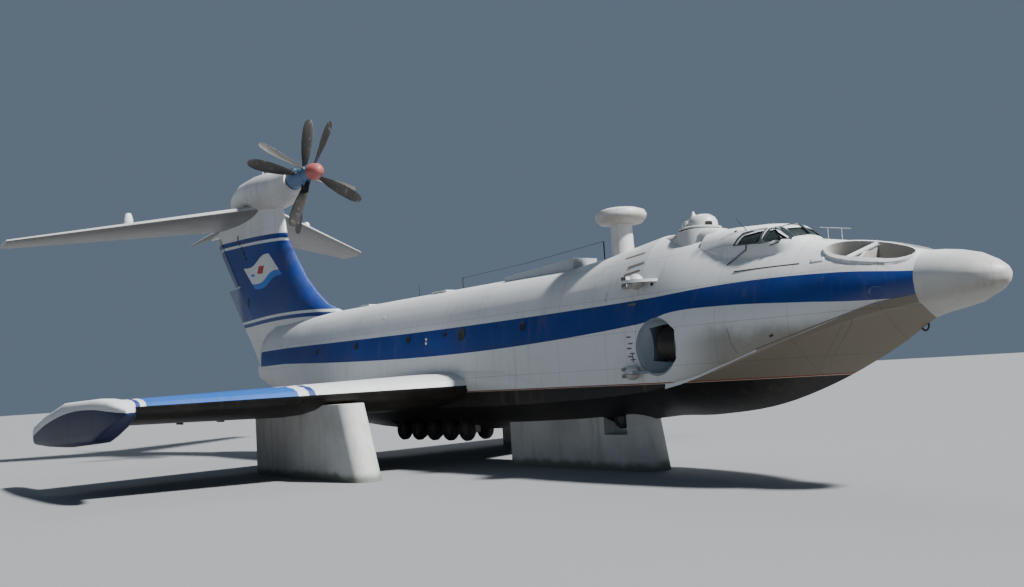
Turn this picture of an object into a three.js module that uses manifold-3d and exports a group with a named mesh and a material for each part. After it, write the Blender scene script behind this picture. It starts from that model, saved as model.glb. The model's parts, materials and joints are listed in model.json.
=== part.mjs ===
// Ground-effect vehicle on its concrete pylons, as a 1:2 scale model.
// Real sizes are in metres: a station is the distance aft of the nose tip,
// a height is above the pylons' feet.
// The model is in millimetres: +X is the bow, +Y is port, +Z is up.
import * as THREE from 'three';
import { mergeVertices } from 'three/addons/utils/BufferGeometryUtils.js';
import Module from 'manifold-3d';

const wasm = await Module();
wasm.setup();

// Driving dimensions of the real vehicle, in metres
const SCALE = 2;
const MM = 1000 / SCALE;
const LENGTH = 58.1;
const HALF_SPAN = 15.75;
const GAP = 0.3 / MM;
const CLEAR = 6 / MM;
const END_GAP = { flap: 0.04, elevator: 0.1, rudder: 0.12 };

const SPLIT = 11.85;
const STERN = 46.2;
const HINGE = { y: -2.32, z: [3.55, 6.65] };

const HOLD = { from: SPLIT, to: 35.9, halfWidth: 1.6, floor: 3.0, top: 6.2 };

const WING = {
  rootY: 1.9, tipY: 14.75,
  rootLead: 21.9, tipLead: 25.6, trail: 33.5,
  leadZ: 3.42, trailZ: 2.72,
  rootThick: 0.13, tipThick: 0.11, hinge: 0.8,
};
const FLAPS = [
  { name: 'flap_inner', from: 2.3, to: 8.2 },
  { name: 'flap_outer', from: 8.35, to: 14.2 },
];

const TAIL = {
  rootLead: 44.7, rootChord: 7.2, tipLead: 55.4, tipChord: 2.7,
  halfSpan: 12.6, rootZ: 15.0, tipZ: 14.0, thick: 0.115, hinge: 0.7, droop: 0.06,
};

const PROP = { front: 38.8, rear: 39.8, z: 16.0, radius: 3.45 };

const GEAR = { from: 24.2, pitch: 1.3, count: 5, axleZ: 1.42, radius: 0.48, width: 0.34, gauge: 0.5 };
const NOSE_GEAR = { s: 14.6, axleZ: 1.86, radius: 0.36, width: 0.24, gauge: 0.26 };

const PYLON_Y = 7.0;

// Pins and their holes, as radii
const PIN = 0.04;
const PIN_HOLE = 0.042;
const AXLE = 0.07;
const AXLE_HOLE = 0.0712;
const BOW_PIN = 0.07;
const BOW_PIN_PLAY = 0.0015;

// Small helpers

function at(s, y, z) {
  return new THREE.Vector3((LENGTH / 2 - s) * MM, y * MM, z * MM);
}

function lerp(a, b, t) {
  return a + (b - a) * t;
}

function solidOf(geometry) {
  const plain = geometry.index ? geometry.clone() : geometry;
  plain.deleteAttribute('normal');
  plain.deleteAttribute('uv');
  const merged = mergeVertices(plain, 1e-3);
  return new wasm.Manifold(new wasm.Mesh({
    numProp: 3,
    vertProperties: new Float32Array(merged.attributes.position.array),
    triVerts: new Uint32Array(merged.index.array),
  }));
}

function geometryOf(solid) {
  const mesh = solid.getMesh();
  const geometry = new THREE.BufferGeometry();
  geometry.setAttribute('position', new THREE.BufferAttribute(new Float32Array(mesh.vertProperties), 3));
  geometry.setIndex(new THREE.BufferAttribute(new Uint32Array(mesh.triVerts), 1));
  geometry.computeVertexNormals();
  return geometry;
}

// A closed skin through rings of points, all with the same number of points
function loft(rings) {
  const count = rings[0].length;
  const points = rings.flat();
  const faces = [];
  for (let i = 0; i + 1 < rings.length; i += 1) {
    for (let j = 0; j < count; j += 1) {
      const k = (j + 1) % count;
      const [a, b] = [i * count + j, i * count + k];
      faces.push(a, b, b + count, a, b + count, a + count);
    }
  }
  for (const [ring, flip] of [[0, true], [rings.length - 1, false]]) {
    const centre = rings[ring].reduce((sum, p) => sum.add(p), new THREE.Vector3()).divideScalar(count);
    points.push(centre);
    const hub = points.length - 1;
    for (let j = 0; j < count; j += 1) {
      const [a, b] = [ring * count + j, ring * count + ((j + 1) % count)];
      faces.push(...(flip ? [hub, b, a] : [hub, a, b]));
    }
  }
  let volume = 0;
  for (let i = 0; i < faces.length; i += 3) {
    const [a, b, c] = [points[faces[i]], points[faces[i + 1]], points[faces[i + 2]]];
    volume += a.dot(b.clone().cross(c));
  }
  if (volume < 0) {
    faces.reverse();
  }
  const geometry = new THREE.BufferGeometry();
  const flat = points.flatMap((p) => [p.x, p.y, p.z]);
  geometry.setAttribute('position', new THREE.Float32BufferAttribute(flat, 3));
  geometry.setIndex(faces);
  return solidOf(geometry);
}

// A box given by its real limits
function box([s0, s1], [y0, y1], [z0, z1]) {
  const low = at(s1, y0, z0);
  const high = at(s0, y1, z1);
  const size = high.clone().sub(low);
  const geometry = new THREE.BoxGeometry(size.x, size.y, size.z);
  geometry.translate(...low.add(high).multiplyScalar(0.5).toArray());
  return solidOf(geometry);
}

// A cylinder or cone between two real points
function rod(from, to, radius, sides = 24, endRadius = radius) {
  const [a, b] = [at(...from), at(...to)];
  const axis = b.clone().sub(a);
  const geometry = new THREE.CylinderGeometry(endRadius * MM, radius * MM, axis.length(), sides);
  const turn = new THREE.Quaternion().setFromUnitVectors(new THREE.Vector3(0, 1, 0), axis.clone().normalize());
  geometry.applyQuaternion(turn);
  geometry.translate(...a.add(b).multiplyScalar(0.5).toArray());
  return solidOf(geometry);
}

// A side outline of [station, height] pairs, drawn out across the vehicle
function plate(outline, y0, y1) {
  const rings = [y0, y1].map((y) => outline.map(([s, z]) => at(s, y, z)));
  return loft(rings);
}

// A plan outline of [station, y] pairs, drawn up
function slab(outline, z0, z1) {
  const rings = [z0, z1].map((z) => outline.map(([s, y]) => at(s, y, z)));
  return loft(rings);
}

// Rings across the vehicle, each an ellipse or a squarer round; rows are named by the columns
function roundBody(rows, sides = 24, power = 2) {
  const rings = rows.map(({ s, y = 0, low, high, half }) => {
    const ring = [];
    for (let i = 0; i < sides; i += 1) {
      const angle = (i / sides) * Math.PI * 2;
      const [c, d] = [Math.cos(angle), Math.sin(angle)];
      const across = Math.sign(c) * Math.abs(c) ** (2 / power);
      const up = Math.sign(d) * Math.abs(d) ** (2 / power);
      ring.push(at(s, y + half * across, (low + high) / 2 + ((high - low) / 2) * up));
    }
    return ring;
  });
  return loft(rings);
}

function largest(solid) {
  return solid.decompose().sort((a, b) => b.volume() - a.volume())[0];
}

function mirror(solid) {
  return solid.scale([1, -1, 1]);
}

function join(...solids) {
  return solids.reduce((sum, solid) => sum.add(solid));
}

// Cubic interpolation down the columns of a table, by station
function column(table, index, s) {
  const last = table.length - 1;
  let i = table.findIndex((row) => row[0] > s) - 1;
  if (i < -1) {
    i = last - 1;
  }
  i = Math.max(0, Math.min(last - 1, i));
  const [p, a, b, q] = [table[Math.max(0, i - 1)], table[i], table[i + 1], table[Math.min(last, i + 2)]];
  const span = b[0] - a[0];
  const t = (s - a[0]) / span;
  const rise = (from, to) => (to[0] === from[0] ? 0 : ((to[index] - from[index]) / (to[0] - from[0])) * span);
  const [m0, m1] = [rise(p, b), rise(a, q)];
  const [t2, t3] = [t * t, t * t * t];
  return (2 * t3 - 3 * t2 + 1) * a[index] + (t3 - 2 * t2 + t) * m0
    + (3 * t2 - 2 * t3) * b[index] + (t3 - t2) * m1;
}

// Hull sections. Columns: station, keel height, chine half breadth and height,
// greatest half breadth and its height, top height, squareness of the upper part
const HULL = [
  [2.15, 4.60, 0.62, 4.93, 1.06, 5.65, 6.50, 2.0],
  [3.5, 3.80, 1.20, 4.68, 1.62, 5.45, 6.88, 2.0],
  [5.5, 2.90, 1.66, 4.14, 1.98, 5.00, 7.30, 1.9],
  [7.7, 2.25, 1.92, 3.60, 2.20, 4.70, 7.68, 1.8],
  [10.2, 1.97, 2.02, 3.08, 2.26, 4.50, 8.15, 1.75],
  [11.85, 1.95, 1.98, 2.86, 2.08, 4.40, 8.34, 1.8],
  [13.6, 1.80, 1.93, 2.74, 1.98, 4.30, 8.08, 2.0],
  [16.2, 1.62, 1.90, 2.62, 1.95, 4.30, 7.78, 2.35],
  [21.0, 1.48, 1.88, 2.52, 1.95, 4.30, 7.78, 2.4],
  [30.5, 1.48, 1.88, 2.52, 1.95, 4.30, 7.78, 2.4],
  [36.0, 1.98, 1.72, 2.92, 1.86, 4.50, 7.78, 2.3],
  [41.0, 2.95, 1.30, 3.65, 1.52, 4.95, 7.70, 2.1],
  [44.5, 3.80, 0.80, 4.30, 1.05, 5.30, 7.40, 2.0],
  [46.2, 4.30, 0.30, 4.55, 0.42, 5.00, 5.60, 2.0],
];

function hullRing(s) {
  return sectionRing([s, ...[1, 2, 3, 4, 5, 6, 7].map((i) => column(HULL, i, s))]);
}

// One hull section from a row with the columns of HULL
function sectionRing([s, keel, chineY, chineZ, beamY, beamZ, top, power]) {
  const half = [[0, keel]];
  half.push([chineY * 0.5, lerp(keel, chineZ, 0.42)], [chineY, chineZ]);
  for (const t of [0.35, 0.7]) {
    const angle = (t * Math.PI) / 2;
    half.push([lerp(chineY, beamY, Math.sin(angle)), lerp(chineZ, beamZ, 1 - Math.cos(angle))]);
  }
  const steps = 9;
  for (let i = 0; i <= steps; i += 1) {
    const angle = (i / steps) * (Math.PI / 2);
    const y = beamY * Math.cos(angle) ** (2 / power);
    half.push([i === steps ? 0 : y, lerp(beamZ, top, Math.sin(angle) ** (2 / power))]);
  }
  const starboard = half.slice(1, -1).reverse().map(([y, z]) => [-y, z]);
  return [...half, ...starboard].map(([y, z]) => at(s, y, z));
}

// The outer form of the hull aft of the split, with no hollows
const AFT_RINGS = 22;
function aftForm() {
  return hullBody(SPLIT + CLEAR, STERN, AFT_RINGS);
}

function hullBody(from, to, count) {
  const rings = [];
  for (let i = 0; i <= count; i += 1) {
    rings.push(hullRing(lerp(from, to, i / count)));
  }
  return loft(rings);
}

// Aerofoil points, upper side from nose to tail, then the lower side back: [along chord, height] as fractions
function aerofoil(thick, grow = 0) {
  const along = [0, 0.012, 0.05, 0.12, 0.25, 0.42, 0.6, 0.8, 1];
  const half = (t) => 5 * thick * (0.2969 * Math.sqrt(t) - 0.126 * t - 0.3516 * t * t + 0.2843 * t ** 3
    - 0.1015 * t ** 4) + 0.0015;
  const wide = (t) => lerp(-grow, 1 + grow, t);
  const upper = along.map((t) => [wide(t), half(t) + grow]);
  const lower = along.slice().reverse().map((t) => [wide(t), -half(t) - grow]);
  return [...upper, ...lower];
}

// Wing: nose line at WING.leadZ, tail line at WING.trailZ, square to the span
function wingChord(y) {
  const t = (y - WING.rootY) / (WING.tipY - WING.rootY);
  const lead = lerp(WING.rootLead, WING.tipLead, t);
  return { lead, chord: WING.trail - lead, thick: lerp(WING.rootThick, WING.tipThick, t) };
}

function wingRing(y, grow = 0) {
  const { lead, chord, thick } = wingChord(y);
  return aerofoil(thick, grow / chord).map(([t, h]) => at(
    lead + chord * t, y, lerp(WING.leadZ, WING.trailZ, t) + chord * h,
  ));
}

function wingBody(grow = 0, from = WING.rootY, to = WING.tipY) {
  return loft([wingRing(from, grow), wingRing(to, grow)]);
}

// A control surface cut from the tail of a lifting surface, with a round nose on its hinge line.
// hingeOf gives [station, y, height, nose radius] at a place along the span; zone gives the space behind it.
function cutControl(body, hingeOf, zone, from, to, margin) {
  const over = 0.3;
  const [a, b] = [hingeOf(from - over), hingeOf(to + over)];
  const nose = (extra) => rod(a.slice(0, 3), b.slice(0, 3), a[3] + extra, 20, b[3] + extra);
  const surface = body.intersect(join(nose(0), zone(from - 1, to + 1, 0))).intersect(zone(from, to, 1));
  const cove = join(nose(CLEAR), zone(from - 1, to + 1, CLEAR)).intersect(zone(from - margin, to + margin, 1));
  const reach = margin + 0.09;
  const pins = (radius, more) => join(...[from, to].map((u) => (
    hingePin(hingeOf, u - reach - more, u + reach + more, radius)
  )));
  return {
    surface: largest(surface.subtract(pins(PIN_HOLE, 2 * GAP))),
    rest: largest(body.subtract(cove).add(pins(PIN, 0))),
  };
}

// A pin on the hinge line between two places along the span
function hingePin(hingeOf, from, to, radius) {
  return rod(hingeOf(from).slice(0, 3), hingeOf(to).slice(0, 3), radius, 12);
}

const group = new THREE.Group();
group.name = 'ground_effect_vehicle';

// Finishes: colour, roughness, metalness
const FINISH = {
  white: [0xd9dcdc, 0.5, 0.1],
  grey: [0xb4bac0, 0.55, 0.1],
  blue: [0x1f3f8f, 0.45, 0.1],
  navy: [0x16233f, 0.5, 0.1],
  red: [0xc4524a, 0.5, 0.1],
  dark: [0x2b2a29, 0.6, 0.3],
  steel: [0x7d7f80, 0.45, 0.8],
  rubber: [0x1c1c1c, 0.9, 0.0],
  glass: [0x2c3a3a, 0.1, 0.0],
  concrete: [0x9a9c96, 0.9, 0.0],
};

function add(name, solid, finish) {
  const [color, roughness, metalness] = FINISH[finish];
  const material = new THREE.MeshStandardMaterial({ color, roughness, metalness });
  const mesh = new THREE.Mesh(geometryOf(solid), material);
  mesh.name = name;
  group.add(mesh);
}

// Wing, flaps and tip floats

function buildWing() {
  const hingeAt = (y) => {
    const { lead, chord, thick } = wingChord(y);
    const t = WING.hinge;
    const radius = chord * thick * 0.24;
    return [lead + chord * t, y, lerp(WING.leadZ, WING.trailZ, t), radius];
  };
  const zone = (from, to, fore) => loft([from, to].map((y) => {
    const [s, , z] = hingeAt(y);
    const corners = [[s - fore, z - 1.5], [s - fore, z + 1.5], [s + 4, z + 1.5], [s + 4, z - 1.5]];
    return corners.map(([a, b]) => at(a, y, b));
  }));
  const pieces = { wing: wingBody() };
  for (const { name, from, to } of FLAPS) {
    const { surface, rest } = cutControl(pieces.wing, hingeAt, zone, from, to, END_GAP.flap);
    pieces[name] = surface;
    pieces.wing = rest;
  }
  return pieces;
}

const FLOAT_ROWS = [
  { s: 23.85, low: 3.15, high: 3.35, half: 0.15 },
  { s: 24.3, low: 2.98, high: 3.52, half: 0.34 },
  { s: 25.2, low: 2.68, high: 3.70, half: 0.46 },
  { s: 26.5, low: 2.30, high: 3.79, half: 0.5 },
  { s: 27.2, low: 2.12, high: 3.80, half: 0.5 },
  { s: 31.2, low: 1.90, high: 3.73, half: 0.5 },
  { s: 34.0, low: 1.88, high: 3.30, half: 0.46 },
  { s: 36.3, low: 1.93, high: 2.80, half: 0.38 },
  { s: 36.75, low: 2.15, high: 2.65, half: 0.28 },
];
const FLOAT_POWER = 4;

function buildFloat() {
  const y = HALF_SPAN - 0.5;
  return roundBody(FLOAT_ROWS.map((row) => ({ ...row, y })), 20, FLOAT_POWER);
}

const port = buildWing();
const portFloat = buildFloat();
const floatShell = roundBody(FLOAT_ROWS.map((row) => ({
  ...row, y: HALF_SPAN - 0.5, half: row.half + GAP, low: row.low - GAP, high: row.high + GAP,
})), 20, FLOAT_POWER);
port.wing = largest(port.wing.subtract(floatShell));
for (const [side, flip] of [['port', (x) => x], ['starboard', mirror]]) {
  add(`wing_${side}`, flip(port.wing), 'white');
  add(`float_${side}`, flip(portFloat), 'navy');
  for (const { name } of FLAPS) {
    add(`${name}_${side}`, flip(port[name]), 'grey');
  }
}

// Hull aft of the split, with the hold open at the front

function noseWell() {
  const { s, radius } = NOSE_GEAR;
  const reach = radius + 0.2;
  return box([s - reach, s + reach], [-reach, reach], [1.0, NOSE_GEAR.axleZ + 0.55]);
}

function buildAftHull() {
  const wings = join(wingBody(GAP, WING.rootY - GAP), mirror(wingBody(GAP, WING.rootY - GAP)));
  const gearLength = GEAR.pitch * (GEAR.count - 1);
  let hull = aftForm();
  hull = hull.subtract(box([HOLD.from - 1, HOLD.to], [-HOLD.halfWidth, HOLD.halfWidth], [HOLD.floor, HOLD.top]));
  hull = hull.subtract(wings);
  hull = hull.subtract(noseWell());
  return hull.subtract(box(
    [GEAR.from - 0.75, GEAR.from + gearLength + 0.75], [-0.85, 0.85], [1.0, GEAR.axleZ + 0.75],
  ));
}

let hullAft = buildAftHull();

// Bow: the nose swings to starboard on the two hinges

const CANOPY = [
  { s: 5.6, low: 6.2, high: 7.25, half: 0.5 },
  { s: 5.85, low: 6.1, high: 7.42, half: 0.85 },
  { s: 6.15, low: 6.0, high: 7.72, half: 1.08 },
  { s: 6.45, low: 6.0, high: 7.93, half: 1.2 },
  { s: 7.2, low: 6.0, high: 8.04, half: 1.32 },
  { s: 8.4, low: 6.0, high: 8.12, half: 1.3 },
  { s: 9.6, low: 6.2, high: 8.15, half: 1.05 },
];

// The outer form of the canopy, or a skin that lies further in
function canopyForm(shrink = 0) {
  return roundBody(CANOPY.map((row) => ({
    ...row, s: row.s + shrink, high: row.high - shrink, half: row.half - shrink,
  })), 24, 2.3);
}

// Intake mouth seen from above: an ellipse whose rear end stands further out, with a raised collar
const INTAKE = { s: 3.5, y: 0.83, halfS: 1.27, halfY: 0.42, shear: 0.17, collar: 0.1, raise: 0.09 };
const BAY = { y: 1.12, z: 4.5, radius: 0.72, from: 6.6, to: 11.0 };

// A point along an engine bay, from its front end to its back end
function bayAxis(side, t) {
  return [lerp(BAY.from, BAY.to + 0.3, t), side * lerp(BAY.y, BAY.y + 0.35, t), BAY.z];
}

// One ring of the intake duct; tilt turns it from level to upright
function ductRing({ s, y, z, halfS, halfY, shear, tilt = 0 }) {
  const ring = [];
  for (let j = 0; j < 24; j += 1) {
    const angle = (j / 24) * Math.PI * 2;
    const along = halfS * Math.cos(angle);
    ring.push(at(s + along * Math.cos(tilt), y + halfY * Math.sin(angle) + shear * Math.cos(angle),
      z + along * Math.sin(tilt)));
  }
  return ring;
}

// The collar's outline drawn up and down: wide at the sides and the rear, narrow in front
function collarPrism(low, high) {
  const { s, y, halfS, halfY, shear, collar } = INTAKE;
  const grow = [collar * 0.3, collar];
  return loft([low, high].map((z) => ductRing({
    s: s + (grow[1] - grow[0]) / 2, y, z, halfS: halfS + (grow[0] + grow[1]) / 2, halfY: halfY + collar, shear,
  })));
}

function ductCut() {
  const { s, y, halfS, halfY, shear } = INTAKE;
  return loft([
    { s, y, z: 7.8, halfS, halfY, shear },
    { s, y, z: 6.1, halfS, halfY, shear },
    { s: 4.5, y: 0.92, z: 5.3, halfS: 0.95, halfY: 0.4, shear: 0.1, tilt: 0.35 },
    { s: 6.75, y: BAY.y, z: BAY.z, halfS: 0.55, halfY: 0.55, shear: 0, tilt: 1.2 },
  ].map(ductRing));
}

function nozzleRecess() {
  const sweep = roundBody([
    { s: 9.9, y: 1.9, low: 3.75, high: 5.05, half: 0.5 },
    { s: 10.5, y: 2.1, low: 3.5, high: 5.25, half: 0.62 },
    { s: 11.3, y: 2.4, low: 3.45, high: 5.3, half: 0.6 },
    { s: 11.8, y: 2.75, low: 3.8, high: 5.0, half: 0.4 },
  ], 20);
  return sweep;
}

// The outer form of the hull ahead of the split, with no canopy and no hollows
const SEAM = 2.15;
const BOW_RINGS = 20;
function bowForm() {
  return hullBody(SEAM + GAP, SPLIT, BOW_RINGS);
}

// The web that stands across the intake mouth
const VANE = { s: [3.62, 3.7], y: [0.3, 1.4], z: [5.9, 7.0] };

function buildNose() {
  const hull = bowForm();
  const collar = collarPrism(6.0, 7.8).intersect(hull.translate([0, 0, INTAKE.raise * MM]));
  const web = box(VANE.s, VANE.y, VANE.z).intersect(hull.translate([0, 0, -INTAKE.raise * MM]));
  let nose = hull.add(canopyForm()).add(collar).add(mirror(collar));
  const engines = join(...[1, -1].map((side) => rod(bayAxis(side, 0), bayAxis(side, 1), BAY.radius, 20)));
  const cuts = join(ductCut(), nozzleRecess());
  nose = nose.subtract(engines).subtract(cuts).subtract(mirror(cuts));
  return nose.add(web).add(mirror(web));
}

const COCKPIT_ROWS = [
  { s: 5.95, low: 6.55, high: 7.30, half: 0.72 },
  { s: 6.3, low: 6.55, high: 7.66, half: 0.98 },
  { s: 6.6, low: 6.55, high: 7.82, half: 1.06 },
  { s: 7.2, low: 6.55, high: 7.88, half: 1.12 },
  { s: 8.7, low: 6.55, high: 7.92, half: 1.1 },
];

// Window outlines: side ones in [station, height], front ones in [y, height]
const SIDE_PANES = [
  [[7.92, 7.38], [7.70, 7.68], [7.0, 7.75], [7.04, 7.33]],
  [[6.88, 7.34], [6.80, 7.71], [6.63, 7.74], [6.16, 7.38]],
];
const FRONT_PANE = [[0.06, 7.5], [0.06, 7.78], [0.7, 7.73], [0.72, 7.44]];

function paneCut(index, side, inset) {
  const shrink = (outline) => {
    const [cx, cz] = [0, 1].map((i) => outline.reduce((sum, p) => sum + p[i], 0) / outline.length);
    return outline.map(([a, b]) => {
      const [dx, dz] = [a - cx, b - cz];
      const scale = 1 - inset / Math.hypot(dx, dz);
      return [cx + dx * scale, cz + dz * scale];
    });
  };
  if (index < 2) {
    return plate(shrink(SIDE_PANES[index]), side * 0.79, side * 1.7);
  }
  const outline = shrink(FRONT_PANE);
  return loft([5.2, 6.7].map((s) => outline.map(([y, z]) => at(s, side * y, z))));
}

let nose = buildNose();
const glassShell = canopyForm(0.03).subtract(canopyForm(0.07));
const PANES = [['window_rear', 0], ['window_side', 1], ['windscreen', 2]];
nose = nose.subtract(roundBody(COCKPIT_ROWS, 20, 3));
for (const [name, index] of PANES) {
  for (const [side, sign] of [['port', 1], ['starboard', -1]]) {
    add(`${name}_${side}`, largest(glassShell.intersect(paneCut(index, sign, 2 * GAP))), 'glass');
    nose = nose.subtract(paneCut(index, sign, 0));
  }
}

// Seats and panel, seen through the glass, stand on the cockpit floor
const seats = [0.5, -0.5].flatMap((y) => [
  box([6.95, 7.45], [y - 0.24, y + 0.24], [6.5, 6.95]),
  box([7.35, 7.5], [y - 0.24, y + 0.24], [6.5, 7.5]),
]);
nose = join(nose, ...seats, box([5.9, 6.3], [-0.75, 0.75], [6.5, 7.1]));

// Hinges between bow and hull: a fork with its pin on the hull, an eye on the bow.
// A ball fairing hides each fork; the eye turns in its slot.
const HINGES = [
  { name: 'hinge_lower', z: HINGE.z[0], ball: [SPLIT, HINGE.y], radius: 0.25, inner: -2.14, tail: -2.05 },
  { name: 'hinge_upper', z: HINGE.z[1], ball: [11.7, -2.0], radius: 0.27, inner: -1.74, tail: -1.75 },
];
for (const { name, z, ball, radius, inner, tail } of HINGES) {
  const eye = slab([
    [SPLIT - 0.12, HINGE.y - 0.12], [SPLIT + 0.12, HINGE.y - 0.12], [SPLIT + 0.12, HINGE.y + 0.1],
    [SPLIT - 0.12, -1.5], [SPLIT - 0.9, -1.5], [SPLIT - 0.7, -2.0],
  ], z - 0.05, z + 0.05).subtract(box([SPLIT, SPLIT + 2], [-2.14, 0], [z - 1, z + 1]));
  nose = nose.add(eye).subtract(rod([SPLIT, HINGE.y, z - 1], [SPLIT, HINGE.y, z + 1], BOW_PIN + BOW_PIN_PLAY));
  const arms = [z - 0.17, z + 0.065].map((low) => slab([
    [SPLIT - 0.12, HINGE.y - 0.12], [SPLIT + 0.12, HINGE.y - 0.12], [SPLIT + 0.8, tail],
    [SPLIT + 0.8, -1.5], [SPLIT + 0.1, -1.5], [SPLIT - 0.12, HINGE.y + 0.1],
  ], low, low + 0.105));
  const pin = rod([SPLIT, HINGE.y, z - 0.1], [SPLIT, HINGE.y, z + 0.1], BOW_PIN);
  const cover = wasm.Manifold.sphere(radius * MM, 20).translate(at(...ball, z).toArray())
    .subtract(box([SPLIT - 2, SPLIT + 2], [-4, 0], [z - 0.065, z + 0.065]));
  const fork = join(...arms, cover, pin).subtract(box([SPLIT - 2, SPLIT + CLEAR], [inner, 0], [z - 1, z + 1]));
  add(name, largest(fork.subtract(aftForm().translate([0, -GAP * MM, 0]))), 'grey');
}
nose = largest(nose);
add('hull_bow', nose, 'white');

// Radome: a broad ball with the stem faired in below, in the columns of HULL
const RADOME = [
  [0.0, 5.50, 0.06, 5.53, 0.10, 5.60, 5.70, 2],
  [0.1, 5.32, 0.18, 5.39, 0.28, 5.61, 5.84, 2],
  [0.35, 5.12, 0.36, 5.24, 0.58, 5.63, 6.03, 2],
  [0.75, 4.91, 0.50, 5.10, 0.84, 5.64, 6.25, 2],
  [1.25, 4.80, 0.58, 5.02, 0.98, 5.65, 6.39, 2],
  [1.7, 4.72, 0.61, 4.97, 1.04, 5.65, 6.46, 2],
  [2.15, 4.60, 0.62, 4.93, 1.06, 5.65, 6.50, 2],
];
add('radome', loft(RADOME.map(sectionRing)), 'white');

// Boosters in the bow: a core with an open nozzle behind
for (const [name, side] of [['booster_port', 1], ['booster_starboard', -1]]) {
  const along = (t) => bayAxis(side, t);
  const core = rod(along(0.03), along(0.68), BAY.radius - 2 * GAP, 20);
  const nozzle = rod(along(0.67), along(0.92), BAY.radius - 2 * GAP, 20, BAY.radius * 0.86);
  const bore = rod(along(0.72), along(1.0), BAY.radius * 0.72, 20, BAY.radius * 0.78);
  add(name, join(core, nozzle).subtract(bore), 'dark');
}

// Turret and its base on the bow
const TURRET = { s: 10.4, z: 8.31 };
const turretBase = roundBody([
  { s: 8.9, low: 7.3, high: 7.9, half: 0.2 },
  { s: 9.4, low: 7.3, high: 8.24, half: 0.55 },
  { s: 9.8, low: 7.3, high: TURRET.z, half: 0.72 },
  { s: 10.9, low: 7.3, high: TURRET.z, half: 0.76 },
  { s: 11.6, low: 7.3, high: 8.28, half: 0.55 },
], 24, 3).intersect(box([8, SPLIT - 0.05], [-2, 2], [7, TURRET.z]));
const pivot = rod([TURRET.s, 0, TURRET.z - 0.2], [TURRET.s, 0, TURRET.z + 0.06], 0.1);
add('turret_base', largest(join(turretBase, pivot).subtract(
  join(bowForm(), canopyForm()).translate([0, 0, GAP * MM]),
)), 'white');

function lathe(profile, centre) {
  const geometry = new THREE.LatheGeometry(profile.map(([r, z]) => new THREE.Vector2(r * MM, z * MM)), 28);
  geometry.rotateX(Math.PI / 2);
  geometry.translate(...at(...centre).toArray());
  return solidOf(geometry);
}

// A main dome with a smaller lobe behind it and a pointed cap, on one low ring
const turret = join(
  lathe([[0, 0], [0.74, 0], [0.74, 0.06], [0.6, 0.1], [0, 0.1]], [TURRET.s, 0, TURRET.z + 0.012]),
  lathe([[0, 0], [0.49, 0], [0.52, 0.1], [0.5, 0.27], [0.42, 0.4], [0.26, 0.5], [0, 0.54]],
    [TURRET.s - 0.14, 0, TURRET.z + 0.012]),
  lathe([[0, 0], [0.26, 0], [0.27, 0.2], [0.2, 0.36], [0, 0.43]], [TURRET.s + 0.48, 0, TURRET.z + 0.012]),
  lathe([[0, 0.2], [0.14, 0.2], [0.14, 0.46], [0.03, 0.7], [0, 0.7]], [TURRET.s + 0.26, 0, TURRET.z]),
).subtract(rod([TURRET.s, 0, TURRET.z - 0.1], [TURRET.s, 0, TURRET.z + 0.1], 0.1015));
add('turret', turret, 'white');

// Radar on its pillar, and the raised roof panel
const RADAR = { s: 14.2, z: 9.4 };
add('radar_mast', rod([RADAR.s, 0, 7.6], [RADAR.s, 0, RADAR.z - 0.3 - GAP], 0.44, 24, 0.4)
  .subtract(aftForm().translate([0, 0, GAP * MM])), 'white');
add('radar_disc', lathe([
  [0, -0.3], [0.5, -0.3], [0.8, -0.26], [0.95, -0.1], [0.98, 0.05], [0.9, 0.2], [0.62, 0.3], [0, 0.33],
], [RADAR.s, 0, RADAR.z]), 'white');
add('roof_panel', plate([[16.4, 7.5], [16.3, 8.12], [20.7, 7.86], [20.7, 7.5]], -0.62, 0.62)
  .subtract(aftForm().translate([0, 0, GAP * MM])), 'grey');

// Tail: tailplane, nacelle with its engine, fin and rudders

function tailChord(y) {
  const t = Math.abs(y) / TAIL.halfSpan;
  return {
    lead: lerp(TAIL.rootLead, TAIL.tipLead, t),
    chord: lerp(TAIL.rootChord, TAIL.tipChord, t),
    z: lerp(TAIL.rootZ, TAIL.tipZ, t),
  };
}

function tailBody(grow = 0) {
  return loft([-TAIL.halfSpan, 0, TAIL.halfSpan].map((y) => {
    const { lead, chord, z } = tailChord(y);
    const rise = (t, h) => z + chord * (h - TAIL.droop * t);
    return aerofoil(TAIL.thick, grow / chord).map(([t, h]) => at(lead + chord * t, y, rise(t, h)));
  }));
}

// The pointed fairing behind the root of the tailplane
const SPIKE = [
  { s: 50.8, low: 14.5, high: 14.8, half: 0.12 },
  { s: 52.2, low: 14.36, high: 14.82, half: 0.24 },
  { s: 54.0, low: 14.34, high: 14.72, half: 0.2 },
  { s: 56.4, low: 14.33, high: 14.55, half: 0.1 },
  { s: 58.0, low: 14.36, high: 14.42, half: 0.03 },
];
const spike = (grow) => roundBody(SPIKE.map(({ s, low, high, half }) => ({
  s, low: low - grow, high: high + grow, half: half + grow,
})), 16);

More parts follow.
